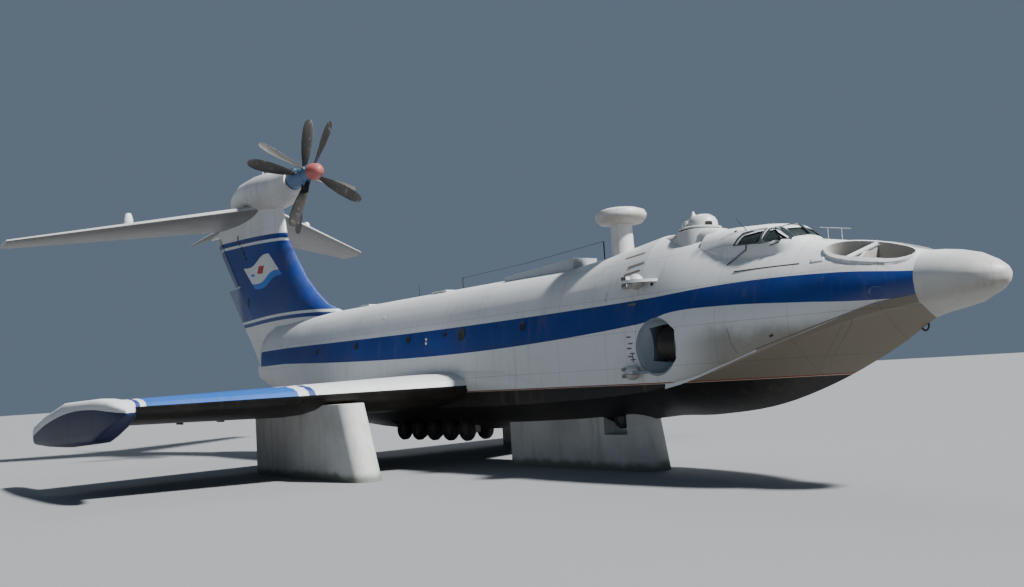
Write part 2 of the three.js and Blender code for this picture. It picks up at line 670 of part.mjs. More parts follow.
let tailplane = tailBody();
const tailCut = join(tailBody(GAP), spike(GAP));
const ELEVATOR = { from: 1.3, to: 12.0 };
const elevatorHinge = (y) => {
  const { lead, chord, z } = tailChord(y);
  return [lead + chord * TAIL.hinge, y, z - TAIL.droop * chord * TAIL.hinge, chord * TAIL.thick * 0.33];
};
for (const [side, sign] of [['port', 1], ['starboard', -1]]) {
  const hingeAt = (y) => elevatorHinge(y).map((value, i) => (i === 1 ? sign * value : value));
  const zone = (from, to, fore) => loft([from, to].map((y) => {
    const [s, , z] = elevatorHinge(y);
    const corners = [[s - fore, z - 1], [s - fore, z + 1], [s + 4, z + 1], [s + 4, z - 1]];
    return corners.map(([a, b]) => at(a, sign * y, b));
  }));
  const { surface, rest } = cutControl(
    tailplane, hingeAt, zone, ELEVATOR.from, ELEVATOR.to, END_GAP.elevator,
  );
  add(`elevator_${side}`, surface, 'grey');
  tailplane = rest;
}
add('tailplane', tailplane.add(spike(0)), 'grey');

const NACELLE = [
  { s: 41.0, low: 15.3, high: 16.7, half: 0.7 },
  { s: 42.0, low: 14.85, high: 16.85, half: 0.95 },
  { s: 43.2, low: 14.62, high: 17.0, half: 1.08 },
  { s: 45.5, low: 14.8, high: 17.12, half: 1.08 },
  { s: 47.5, low: 15.0, high: 17.05, half: 0.92 },
  { s: 49.0, low: 15.15, high: 16.7, half: 0.6 },
  { s: 49.8, low: 15.35, high: 16.3, half: 0.25 },
];
const engineRod = (radius, from, to) => rod([from, 0, PROP.z], [to, 0, PROP.z], radius, 24);
let nacelle = roundBody(NACELLE, 28, 2.1).subtract(tailCut);
nacelle = largest(nacelle).subtract(engineRod(0.58, 40.5, 46.6));
add('nacelle', nacelle, 'white');
const shaft = engineRod(0.12, 38.3, 41.3);
add('tail_engine', join(engineRod(0.58 - GAP, 41.15, 46.6 - GAP), shaft), 'dark');

// Fin outline in [station, height]; the leading edge sweeps down into the hull's back
const FIN_ROWS = [
  { z: 5.1, lead: 36.0, trail: 44.25, half: 0.5 },
  { z: 6.6, lead: 33.2, trail: 45.45, half: 0.55 },
  { z: 7.75, lead: 35.9, trail: 46.5, half: 0.66 },
  { z: 8.35, lead: 37.7, trail: 47.0, half: 0.7 },
  { z: 9.15, lead: 38.95, trail: 47.7, half: 0.68 },
  { z: 10.1, lead: 40.1, trail: 48.55, half: 0.62 },
  { z: 11.4, lead: 41.25, trail: 49.7, half: 0.55 },
  { z: 12.9, lead: 42.4, trail: 51.0, half: 0.5 },
  { z: 15.4, lead: 42.9, trail: 52.2, half: 0.46 },
];
const RUDDER_CHORD = 2.3;

function finBody() {
  const rows = FIN_ROWS.map(({ z, lead, trail, half }) => {
    const chord = trail + RUDDER_CHORD - lead;
    const thick = (half * 2) / chord;
    return aerofoil(thick).map(([t, h]) => at(lead + chord * t, chord * h, z));
  });
  return loft(rows);
}

// Hinge line of both rudders: real points at the foot and the head
const RUDDER_HINGE = [[45.3, 6.4], [51.75, 13.72]];
const hingeS = (z) => lerp(RUDDER_HINGE[0][0], RUDDER_HINGE[1][0], (z - RUDDER_HINGE[0][1])
  / (RUDDER_HINGE[1][1] - RUDDER_HINGE[0][1]));
const RUDDERS = [
  { name: 'rudder_lower', low: 5.35, high: 10.4, nose: [0.34, 0.34] },
  { name: 'rudder_upper', low: 10.6, high: 14.1, nose: [0.33, 0.25] },
];

// The middle bracket carries one pin into each rudder
const RUDDER_BRACKET = 10.5;
let fin = finBody();
const rudders = {};
const rudderZone = (low, high, fore) => loft([low, high].map((z) => {
  const s = hingeS(z);
  return [[s - fore, -1.5], [s - fore, 1.5], [s + 5, 1.5], [s + 5, -1.5]].map(([a, y]) => at(a, y, z));
}));
for (const { name, low, high, nose: [foot, head] } of RUDDERS) {
  const hingeAt = (z) => [hingeS(z), 0, z, lerp(foot, head, (z - low) / (high - low))];
  const { surface, rest } = cutControl(fin, hingeAt, rudderZone, low, high, END_GAP.rudder);
  rudders[name] = surface;
  fin = rest;
}
fin = fin.subtract(box([30, 60], [-2, 2], [15.0, 17])).subtract(tailCut);
fin = fin.subtract(largest(roundBody(NACELLE.map((row) => ({
  ...row, low: row.low - GAP, half: row.half + GAP,
})), 28, 2.1)));
fin = largest(fin.subtract(aftForm().translate([0, 0, GAP * MM])));
const bracketS = hingeS(RUDDER_BRACKET);
fin = fin.add(box(
  [bracketS - 0.75, bracketS + 0.12], [-0.1, 0.1], [RUDDER_BRACKET - 0.035, RUDDER_BRACKET + 0.035],
));
fin = fin.add(hingePin((z) => [hingeS(z), 0, z], RUDDERS[0].high - 0.12, RUDDERS[1].low + 0.12, PIN));
add('fin', fin, 'blue');

// The upper rudder stands over to port, as the photograph shows it
const UPPER_SET = 18;
const hingeFoot = at(hingeS(RUDDERS[1].low), 0, RUDDERS[1].low);
const hingeAxis = at(hingeS(RUDDERS[1].high), 0, RUDDERS[1].high).sub(hingeFoot).normalize();
const turn = new THREE.Matrix4().makeTranslation(hingeFoot)
  .multiply(new THREE.Matrix4().makeRotationAxis(hingeAxis, (-UPPER_SET * Math.PI) / 180))
  .multiply(new THREE.Matrix4().makeTranslation(hingeFoot.clone().negate()));
add('rudder_upper', rudders.rudder_upper.transform(turn.elements), 'grey');
add('rudder_lower', rudders.rudder_lower, 'grey');
const footPin = hingePin((z) => [hingeS(z), 0, z], RUDDERS[0].low - 0.4, RUDDERS[0].low + 0.15, PIN);
const rudderNose = RUDDERS[0].nose[0] + CLEAR;
hullAft = hullAft.subtract(join(
  rod([hingeS(3), 0, 3], [hingeS(12), 0, 12], rudderNose, 20), rudderZone(3, 12, CLEAR),
).intersect(rudderZone(RUDDERS[0].low - END_GAP.rudder, 11, 1))).add(footPin);

// Two four-bladed propellers that turn opposite ways on one shaft

function blade(turnSign) {
  const rows = [
    { r: 0.25, chord: 0.22, thick: 0.17, pitch: 62 },
    { r: 0.8, chord: 0.34, thick: 0.12, pitch: 54 },
    { r: 1.3, chord: 0.52, thick: 0.09, pitch: 44 },
    { r: 2.1, chord: 0.66, thick: 0.065, pitch: 34 },
    { r: 2.9, chord: 0.62, thick: 0.05, pitch: 27 },
    { r: 3.3, chord: 0.44, thick: 0.035, pitch: 24 },
    { r: PROP.radius, chord: 0.2, thick: 0.03, pitch: 24 },
  ];
  return loft(rows.map(({ r, chord, thick, pitch }) => {
    const angle = THREE.MathUtils.degToRad(pitch);
    const ring = [];
    for (let i = 0; i < 10; i += 1) {
      const a = (i / 10) * Math.PI * 2;
      const [u, v] = [(Math.cos(a) * chord) / 2, (Math.sin(a) * thick) / 2];
      const x = u * Math.sin(angle) + v * Math.cos(angle);
      const y = turnSign * (u * Math.cos(angle) - v * Math.sin(angle));
      ring.push(new THREE.Vector3(x * MM, y * MM, r * MM));
    }
    return ring;
  }));
}

function propeller(station, sign, phase, profile) {
  const geometry = new THREE.LatheGeometry(profile.map(([r, x]) => new THREE.Vector2(r * MM, x * MM)), 28);
  geometry.rotateZ(-Math.PI / 2);
  let rotor = solidOf(geometry);
  for (let i = 0; i < 4; i += 1) {
    rotor = rotor.add(blade(sign).rotate([phase + i * 90, 0, 0]));
  }
  return rotor.translate(at(station, 0, PROP.z).toArray());
}

const BORE = 0.1215;
add('propeller_front', propeller(PROP.front, -1, -24, [
  [BORE, -0.42], [0.5, -0.42], [0.5, 0.3], [0.46, 0.5], [0.4, 0.75], [0.27, 0.98], [0, 1.08], [0, 0.56],
  [BORE, 0.56], [BORE, -0.42],
]), 'dark');
add('propeller_rear', propeller(PROP.rear, 1, -9, [
  [BORE, -1.1], [0.57, -1.1], [0.52, 0.3], [0.5, 0.54], [BORE, 0.54], [BORE, -1.1],
]), 'dark');

// Landing gear: the beam with its cross arms, five axles of twin wheels, and the nose leg

function wheel(s, y, z, radius, width) {
  const w = width / 2;
  const profile = [
    [0, -w * 0.6], [radius * 0.52, -w * 0.6], [radius * 0.56, -w], [radius * 0.88, -w], [radius, -w * 0.5],
    [radius, w * 0.5], [radius * 0.88, w], [radius * 0.56, w], [radius * 0.52, w * 0.6], [0, w * 0.6],
  ];
  const geometry = new THREE.LatheGeometry(profile.map(([r, v]) => new THREE.Vector2(r * MM, v * MM)), 20);
  geometry.translate(...at(s, y, z).toArray());
  return solidOf(geometry);
}

function wheelPair(s, { axleZ, radius, width, gauge }) {
  const reach = gauge - width * 0.2;
  return join(
    wheel(s, gauge, axleZ, radius, width), wheel(s, -gauge, axleZ, radius, width),
    rod([s, -reach, axleZ], [s, reach, axleZ], AXLE, 12),
  );
}

const gearEnd = GEAR.from + GEAR.pitch * (GEAR.count - 1);
let beam = box([GEAR.from - 0.6, gearEnd + 0.6], [-0.2, 0.2], [GEAR.axleZ + 0.2, GEAR.axleZ + 0.75 - GAP]);
for (let i = 0; i < GEAR.count; i += 1) {
  const s = GEAR.from + GEAR.pitch * i;
  beam = beam.add(box([s - 0.12, s + 0.12], [-0.15, 0.15], [GEAR.axleZ - 0.14, GEAR.axleZ + 0.3]));
  beam = beam.subtract(rod([s, -1, GEAR.axleZ], [s, 1, GEAR.axleZ], AXLE_HOLE, 24));
  add(`main_wheels_${i + 1}`, wheelPair(s, GEAR), 'rubber');
}
add('gear_beam', beam, 'steel');

const legTop = NOSE_GEAR.axleZ + 0.55;
const nearAxle = rod([NOSE_GEAR.s, -1, NOSE_GEAR.axleZ], [NOSE_GEAR.s, 1, NOSE_GEAR.axleZ], AXLE_HOLE, 24);
add('nose_leg', join(
  rod([NOSE_GEAR.s, 0, NOSE_GEAR.axleZ - 0.1], [NOSE_GEAR.s, 0, legTop - GAP], 0.11),
).subtract(nearAxle), 'steel');
add('nose_wheels', wheelPair(NOSE_GEAR.s, NOSE_GEAR), 'rubber');

// Concrete pylons: one under the bow, one under each wing

// A round-nosed wall whose nose leans forward at the foot
function pylonBody({ y, head, foot, rear, half, top }) {
  const ring = (lead, z) => {
    const points = [at(rear, y + half, z), at(rear, y - half, z)];
    for (let i = 0; i <= 10; i += 1) {
      const angle = (i / 10) * Math.PI;
      points.push(at(lead + half * (1 - Math.sin(angle)), y - half * Math.cos(angle), z));
    }
    return points;
  };
  return loft([ring(foot, 0), ring(head, top)]);
}

const bowPylon = pylonBody({ y: 0, head: 13.25, foot: 12.8, rear: 20.9, half: 0.65, top: 2.5 });
const wheelNotch = box([NOSE_GEAR.s - 0.6, NOSE_GEAR.s + 0.6], [-1, 1], [1.3, 4]);
const underHull = aftForm().translate([0, 0, -GAP * MM]);
add('pylon_bow', largest(bowPylon.subtract(underHull).subtract(wheelNotch)), 'concrete');
const wingPylon = pylonBody({ y: PYLON_Y, head: 22.5, foot: 21.4, rear: 30.6, half: 0.62, top: 3.0 });
const pylonPort = largest(wingPylon.subtract(wingBody().translate([0, 0, -GAP * MM])));
add('pylon_port', pylonPort, 'concrete');
add('pylon_starboard', mirror(pylonPort), 'concrete');

add('hull_aft', largest(hullAft), 'white');

export default group;
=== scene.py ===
"""Looks of the ground-effect vehicle on its pylons: finishes, fittings, floor, light and camera."""

import json
import logging
import math
from dataclasses import dataclass, field
from enum import Enum
from functools import cache
from typing import Callable

import bpy
from bpy.types import ID, Material, Node, NodeSocket, NodeTree, Object
from mathutils import Matrix, Vector

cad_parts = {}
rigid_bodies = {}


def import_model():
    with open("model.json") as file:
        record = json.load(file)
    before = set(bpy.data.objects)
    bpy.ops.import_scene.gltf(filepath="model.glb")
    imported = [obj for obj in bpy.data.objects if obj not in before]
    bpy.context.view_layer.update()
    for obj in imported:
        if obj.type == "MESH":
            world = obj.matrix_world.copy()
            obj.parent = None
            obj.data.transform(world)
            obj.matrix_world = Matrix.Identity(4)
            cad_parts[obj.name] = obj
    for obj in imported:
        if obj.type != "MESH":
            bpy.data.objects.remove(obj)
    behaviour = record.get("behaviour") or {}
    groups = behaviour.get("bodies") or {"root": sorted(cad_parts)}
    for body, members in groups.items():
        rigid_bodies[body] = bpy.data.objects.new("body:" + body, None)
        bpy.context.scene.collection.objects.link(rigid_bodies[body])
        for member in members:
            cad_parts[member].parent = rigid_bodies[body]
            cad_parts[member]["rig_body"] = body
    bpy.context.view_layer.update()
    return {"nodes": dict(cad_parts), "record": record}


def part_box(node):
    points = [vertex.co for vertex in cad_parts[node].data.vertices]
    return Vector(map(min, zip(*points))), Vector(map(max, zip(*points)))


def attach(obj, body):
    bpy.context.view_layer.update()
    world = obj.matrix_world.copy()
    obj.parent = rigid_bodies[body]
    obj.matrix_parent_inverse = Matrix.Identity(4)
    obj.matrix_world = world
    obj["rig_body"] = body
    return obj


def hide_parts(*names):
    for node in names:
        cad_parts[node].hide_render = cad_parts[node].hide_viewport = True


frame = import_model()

LOG = logging.getLogger("ground_effect_vehicle")

SIDES = {"port": 1.0, "starboard": -1.0}
HALF_LENGTH = 14.525
FINE = 0.0001
PLUMB = 0.01
REACH = 20.0
SUNK = 0.02
ROUND_SIDES = 28
NOWHERE = 99.0
NOISE_ROUGHNESS = 0.6
UP = Vector((0, 0, 1))
EYE = Vector((20.67, -13.276, 1.863))


def model_x(station: float) -> float:
    """Turn a real distance aft of the nose tip, in metres, into the model's x."""
    return HALF_LENGTH - station / 2


# Node trees


class Graph:
    """A node tree with short ways to add nodes and join them."""

    def __init__(self, tree: NodeTree) -> None:
        """Keep the tree to build in."""
        self.tree = tree

    def put(self, socket: NodeSocket, value: object) -> None:
        """Give a socket a value, or a link where the value is itself a socket.

        Args:
            socket: The input to fill.
            value: A number, a tint, a colour or an output socket.
        """
        if isinstance(value, NodeSocket):
            self.tree.links.new(value, socket)
        else:
            socket.default_value = value.value if isinstance(value, Enum) else value

    def node(self, kind: str, inputs: dict | None = None, **settings: object) -> Node:
        """Add a node.

        Args:
            kind: The node's type name, without its ShaderNode start.
            inputs: Values or sockets by input name or number.
            settings: Properties of the node.

        Returns:
            The new node.
        """
        made = self.tree.nodes.new("ShaderNode" + kind)
        for name, value in settings.items():
            setattr(made, name, value)
        for key, value in (inputs or {}).items():
            self.put(made.inputs[key], value)
        return made

    def math(self, kind: str, *values: object, clamp: bool = False) -> NodeSocket:
        """Add a maths node and return its result."""
        made = self.node("Math", dict(enumerate(values)), operation=kind, use_clamp=clamp)
        return made.outputs[0]

    def times(self, first: object, second: object) -> NodeSocket:
        """Multiply two values."""
        return self.math("MULTIPLY", first, second)

    def plus(self, first: object, second: object) -> NodeSocket:
        """Add two values."""
        return self.math("ADD", first, second)

    def minus(self, first: object, second: object) -> NodeSocket:
        """Take the second value from the first."""
        return self.math("SUBTRACT", first, second)

    def less(self, value: object, limit: object) -> NodeSocket:
        """Mask where a value is below a limit."""
        return self.math("LESS_THAN", value, limit)

    def more(self, value: object, limit: object) -> NodeSocket:
        """Mask where a value is above a limit."""
        return self.math("GREATER_THAN", value, limit)

    def reach(self, first: object, second: object) -> NodeSocket:
        """Return the distance from an axis, given the two coordinates across it."""
        squares = [self.times(value, value) for value in (first, second)]
        return self.math("SQRT", self.plus(*squares))

    def mix(self, factor: object, first: object, second: object) -> NodeSocket:
        """Mix two colours and return the result."""
        made = self.node("Mix", data_type="RGBA")
        for index, value in ((0, factor), (6, first), (7, second)):
            self.put(made.inputs[index], value)
        return made.outputs[2]

    def ramp(self, value: object, low: float, high: float) -> NodeSocket:
        """Rise smoothly from 0 to 1 between two values."""
        inputs = {0: value, 1: low, 2: high}
        return self.node("MapRange", inputs, interpolation_type="SMOOTHSTEP").outputs[0]

    def noise(self, vector: object, scale: float, detail: float = 4.0) -> NodeSocket:
        """Add a noise texture and return its value."""
        inputs = {"Vector": vector, "Scale": scale, "Detail": detail, "Roughness": NOISE_ROUGHNESS}
        return self.node("TexNoise", inputs).outputs["Fac"]

    def place(self) -> tuple:
        """Return the object coordinates as a vector and as its x, y and z."""
        point = self.node("TexCoord").outputs["Object"]
        split = self.node("SeparateXYZ", {0: point})
        return point, split.outputs[0], split.outputs[1], split.outputs[2]

    def facing_up(self) -> NodeSocket:
        """Return the height part of the surface's normal in object space."""
        normal = self.node("TexCoord").outputs["Normal"]
        return self.node("SeparateXYZ", {0: normal}).outputs[2]

    def facing_down(self, low: float, high: float) -> NodeSocket:
        """Rise smoothly from 0 to 1 as the surface turns to look down."""
        return self.ramp(self.times(self.facing_up(), -1.0), low, high)

    def ragged(self, value: object, vector: object, scale: float, detail: float, swing: float) -> NodeSocket:
        """Return a value made uneven by noise."""
        return self.math("MULTIPLY_ADD", self.noise(vector, scale, detail), swing, value)

    def group(self, tree: NodeTree, inputs: dict) -> Node:
        """Add a node group with values for its inputs."""
        made = self.node("Group")
        made.node_tree = tree
        for name, value in inputs.items():
            self.put(made.inputs[name], value)
        return made

    def follow(self, value: object, line: tuple | list, low: float, high: float) -> NodeSocket:
        """Read a smooth line of (x, z) points at a given x.

        Args:
            value: The x to read at.
            line: Points of the line, in metres.
            low: A height below every point.
            high: A height above every point.

        Returns:
            The line's z at that x.
        """
        points = sorted(line)
        start, end = points[0][0], points[-1][0]
        along = self.node("MapRange", {0: value, 1: start, 2: end})
        curve = self.node("FloatCurve", {"Value": along.outputs[0]})
        track = curve.mapping.curves[0]
        while len(track.points) < len(points):
            track.points.new(0.5, 0.5)
        for knot, (x, z) in zip(track.points, points):
            knot.location = ((x - start) / (end - start), (z - low) / (high - low))
        curve.mapping.update()
        return self.node("MapRange", {0: curve.outputs[0], 3: low, 4: high}).outputs[0]


def new_group(name: str, inputs: dict, outputs: dict) -> tuple:
    """Start a shader node group with named sockets.

    Args:
        name: The group's name.
        inputs: Socket type and default value by input name.
        outputs: Socket type by output name.

    Returns:
        The tree, its graph, the group input node and the group output node.
    """
    tree = bpy.data.node_groups.new(name, "ShaderNodeTree")
    for label, (kind, value) in inputs.items():
        made = tree.interface.new_socket(label, in_out="INPUT", socket_type=kind)
        made.default_value = value
    for label, kind in outputs.items():
        tree.interface.new_socket(label, in_out="OUTPUT", socket_type=kind)
    source = tree.nodes.new("NodeGroupInput")
    sink = tree.nodes.new("NodeGroupOutput")
    return tree, Graph(tree), source, sink


@dataclass(frozen=True)
class Cloud:
    """Blotches: their scale and detail, the noise where they begin and are full, and their strength."""

    scale: float
    detail: float
    low: float
    high: float
    share: float = 1.0

    def mask(self, graph: Graph, vector: object) -> NodeSocket:
        """Return the blotches' mask."""
        full = graph.ramp(graph.noise(vector, self.scale, self.detail), self.low, self.high)
        return full if self.share == 1.0 else graph.times(full, self.share)


VALUE = "NodeSocketFloat"
COLOUR = "NodeSocketColor"
RUN_STRETCH = (3.2, 3.2, 0.22)
RUNS = Cloud(2.2, 6, 0.52, 0.8)
BLOTCHES = Cloud(0.55, 6, 0.42, 0.72)
SPECKS = Cloud(9.0, 3, 0.6, 0.85)
DENTS = (1.1, 1)
SPECK_SHARE = 0.5
SPECK_HEIGHT = 0.04
DIRT_ROUGHNESS = 0.35


def weather_group() -> NodeTree:
    """Make the group that ages a painted skin: run marks, blotches, fine dirt and dents."""
    inputs = {
        "Colour": (COLOUR, (0.8, 0.8, 0.8, 1)),
        "Grime": (COLOUR, (0.2, 0.17, 0.12, 1)),
        "Runs": (VALUE, 0.3),
        "Blotches": (VALUE, 0.2),
        "Roughness": (VALUE, 0.45),
    }
    outputs = {"Colour": COLOUR, "Roughness": VALUE, "Height": VALUE}
    tree, graph, source, sink = new_group("weather", inputs, outputs)
    point, _, _, _ = graph.place()
    drawn = graph.node("Mapping", {0: point, 3: RUN_STRETCH}).outputs[0]
    specks = SPECKS.mask(graph, point)
    dents = graph.noise(point, *DENTS)
    dirt = graph.times(RUNS.mask(graph, drawn), source.outputs["Runs"])
    haze = graph.times(BLOTCHES.mask(graph, point), source.outputs["Blotches"])
    fine = graph.times(specks, graph.times(source.outputs["Blotches"], SPECK_SHARE))
    amount = graph.math("ADD", graph.plus(dirt, haze), fine, clamp=True)
    colour = graph.mix(amount, source.outputs["Colour"], source.outputs["Grime"])
    rough = graph.math("MULTIPLY_ADD", amount, DIRT_ROUGHNESS, source.outputs["Roughness"], clamp=True)
    height = graph.math("MULTIPLY_ADD", specks, SPECK_HEIGHT, dents)
    tree.links.new(colour, sink.inputs["Colour"])
    tree.links.new(rough, sink.inputs["Roughness"])
    tree.links.new(height, sink.inputs["Height"])
    return tree


def seam_group() -> NodeTree:
    """Make the group that draws plate seams as a mask, at even steps along x and one other value."""
    inputs = {
        "Step": (VALUE, 1.5),
        "Across": (VALUE, 0.0),
        "Across Step": (VALUE, 0.6),
        "Width": (VALUE, 0.006),
    }
    tree, graph, source, sink = new_group("seams", inputs, {"Mask": VALUE})
    _, x, _, _ = graph.place()
    width = source.outputs["Width"]
    masks = []
    for value, step in ((x, "Step"), (source.outputs["Across"], "Across Step")):
        half = graph.times(source.outputs[step], 0.5)
        masks.append(graph.less(graph.math("PINGPONG", value, half), width))
    tree.links.new(graph.math("MAXIMUM", *masks), sink.inputs["Mask"])
    return tree


def band_group() -> NodeTree:
    """Make the group that masks a band between two values."""
    inputs = {"Value": (VALUE, 0.0), "Low": (VALUE, 0.0), "High": (VALUE, 1.0)}
    tree, graph, source, sink = new_group("band", inputs, {"Mask": VALUE})
    above = graph.more(source.outputs["Value"], source.outputs["Low"])
    below = graph.less(source.outputs["Value"], source.outputs["High"])
    tree.links.new(graph.times(above, below), sink.inputs["Mask"])
    return tree


WEATHER = weather_group()
SEAMS = seam_group()
BAND = band_group()


class Tint(Enum):
    """Paint and bare colours, as linear red, green and blue."""

    WHITE = (0.66, 0.67, 0.67, 1)
    SHELL = (0.56, 0.565, 0.55, 1)
    GREY = (0.42, 0.45, 0.48, 1)
    # Beige of the forefoot, darkened as painted shade.
    SHADED_BEIGE = (0.17, 0.157, 0.122, 1)
    # Blue-grey painted shade of the scoops behind the nozzles.
    SCOOP_SHADE = (0.20, 0.24, 0.28, 1)
    BLUE = (0.014, 0.040, 0.20, 1)
    MID_BLUE = (0.022, 0.080, 0.32, 1)
    LIGHT_BLUE = (0.045, 0.19, 0.56, 1)
    NAVY = (0.008, 0.016, 0.060, 1)
    RED = (0.20, 0.025, 0.022, 1)
    # Grey-beige painted shade inside the intakes.
    DUCT_SHADE = (0.42, 0.40, 0.36, 1)
    SMOKE = (0.035, 0.048, 0.052, 1)
    RING = (0.05, 0.085, 0.17, 1)
    # Dark grey of grimy dents, darkened as painted shade, and of dark plate lines.
    SHADED_DENT_AND_LINES = (0.17, 0.16, 0.15, 1)
    # Brown of the stain low on the bow, deepened as painted shade.
    STAIN_AND_SHADE = (0.23, 0.215, 0.18, 1)
    # Grey painted shade on the tail's faces that look down.
    UNDER_SHADE = (0.17, 0.17, 0.165, 1)
    # Dark grey of the locks and slots, also painted shadow on the hinge forks.
    LOCK = (0.10, 0.115, 0.13, 1)
    FLAG_RED = (0.42, 0.05, 0.05, 1)
    TAIL = (0.52, 0.53, 0.52, 1)
    FLOOR = (0.24, 0.245, 0.25, 1)
    GLASS = (0.09, 0.12, 0.115, 1)
    DUST = (0.19, 0.205, 0.195, 1)
    WORN = (0.16, 0.15, 0.14, 1)
    POUR = (0.40, 0.40, 0.38, 1)
    SPINNER = (0.36, 0.10, 0.085, 1)
    BLACK = (0.012, 0.011, 0.011, 1)
    CREAM = (0.60, 0.55, 0.42, 1)
    PRIMER = (0.16, 0.19, 0.17, 1)
    # Near black of soot, seams and dark metal, also painted shade on the upper rudder.
    SOOT_AND_SHADE = (0.035, 0.030, 0.027, 1)
    # Grime, also used as painted shade on faces that look down.
    GRIME_AND_SHADE = (0.19, 0.16, 0.12, 1)
    RUST = (0.16, 0.06, 0.022, 1)
    STEEL = (0.25, 0.25, 0.25, 1)
    WING_BLUE = (0.014, 0.10, 0.36, 1)
    WHEEL = (0.07, 0.068, 0.065, 1)
    BLADE = (0.012, 0.011, 0.010, 1)
    RUBBER = (0.018, 0.018, 0.018, 1)
    HUB = (0.07, 0.14, 0.24, 1)
    CONCRETE = (0.52, 0.52, 0.50, 1)
    ALGAE = (0.06, 0.075, 0.05, 1)


@dataclass(frozen=True)
class Plates:
    """Plate seams at even steps along x and along y or z."""

    step: float
    across: float
    width: float = 0.003
    over_y: bool = False

    def mask(self, graph: Graph) -> NodeSocket:
        """Return the seams' mask."""
        _, _, y, z = graph.place()
        value = y if self.over_y else z
        inputs = {"Step": self.step, "Across": value, "Across Step": self.across, "Width": self.width}
        return graph.group(SEAMS, inputs).outputs[0]


@dataclass(frozen=True)
class Finish:
    """A surface: its name, how glossy, bumpy and dirty it is, how much painted shade darkens its downward
    faces, and its plate seams.
    """

    name: str
    roughness: float = 0.42
    metallic: float = 0.0
    coat: float = 0.0
    coat_roughness: float = 0.2
    runs: float = 0.22
    blotches: float = 0.14
    bump: float = 0.25
    depth: float = 0.02
    # Grime colour, also the colour of painted shade; below and below_span set how strongly faces that look
    # down are darkened as painted shade.
    grime_and_shade: Tint = Tint.GRIME_AND_SHADE
    below: float = 0.0
    below_span: tuple = (-0.2, 0.6)
    sheen: float = 0.5
    plates: Plates | None = None
    seam_shade: float = 0.45
    seam_depth: float = -0.35

    def paint(self, graph: Graph) -> NodeSocket | Tint:
        """Return the colour before ageing. A kind of finish gives its own."""
        return Tint.WHITE

    def build(self) -> Material:
        """Make the material: paint, then age, seams, dents and painted shade on downward faces."""
        material = bpy.data.materials.new(self.name)
        material.use_nodes = True
        graph = Graph(material.node_tree)
        shader = material.node_tree.nodes["Principled BSDF"]
        shader.inputs["Metallic"].default_value = self.metallic
        shader.inputs["Coat Weight"].default_value = self.coat
        shader.inputs["Coat Roughness"].default_value = self.coat_roughness
        shader.inputs["Specular IOR Level"].default_value = self.sheen
        worn = graph.group(WEATHER, {
            "Colour": self.paint(graph), "Grime": self.grime_and_shade, "Runs": self.runs,
            "Blotches": self.blotches, "Roughness": self.roughness,
        })
        colour, height = worn.outputs["Colour"], worn.outputs["Height"]
        if self.plates:
            mask = self.plates.mask(graph)
            colour = graph.mix(graph.times(mask, self.seam_shade), colour, Tint.SOOT_AND_SHADE)
            height = graph.math("MULTIPLY_ADD", mask, self.seam_depth, height)
        bump = graph.node("Bump", {"Strength": self.bump, "Distance": self.depth, "Height": height})
        # Painted shade: faces that look down are darkened towards the grime colour.
        if self.below:
            shade_below = graph.times(graph.facing_down(*self.below_span), self.below)
            colour = graph.mix(shade_below, colour, self.grime_and_shade)
        graph.put(shader.inputs["Base Color"], colour)
        graph.put(shader.inputs["Roughness"], worn.outputs["Roughness"])
        graph.put(shader.inputs["Normal"], bump.outputs[0])
        return material


@dataclass(frozen=True)
class Plain(Finish):
    """One paint all over, aged."""

    tint: Tint = Tint.WHITE

    def paint(self, graph: Graph) -> Tint:
        """Return the one paint."""
        return self.tint


@dataclass(frozen=True)
class TailPaint(Plain):
    """Off-white above and grey below, the grey being painted shade on faces that look down."""

    under: float = -0.05

    def paint(self, graph: Graph) -> NodeSocket:
        """Turn the paint grey, as painted shade, where the surface looks down."""
        below = graph.less(graph.facing_up(), self.under)
        return graph.mix(below, self.tint, Tint.UNDER_SHADE)


# Lines on the hull: station of the real vehicle, height in the model
STRIPE_TOP = [(0.0, 2.93), (1.5, 2.93), (4.3, 3.045), (7.4, 3.085), (11.6, 3.015), (40.0, 3.015)]
STRIPE_FOOT = [
    (0.0, 2.60), (3.4, 2.60), (5.3, 2.665), (8.0, 2.74), (10.0, 2.735), (11.6, 2.60), (40.0, 2.575),
]
CHINE = [
    (0.0, 2.80), (2.13, 2.63), (2.95, 2.564), (3.57, 2.49), (4.15, 2.391), (5.82, 2.126), (7.24, 1.913),
    (9.0, 1.671), (10.84, 1.50), (12.0, 1.40),
]


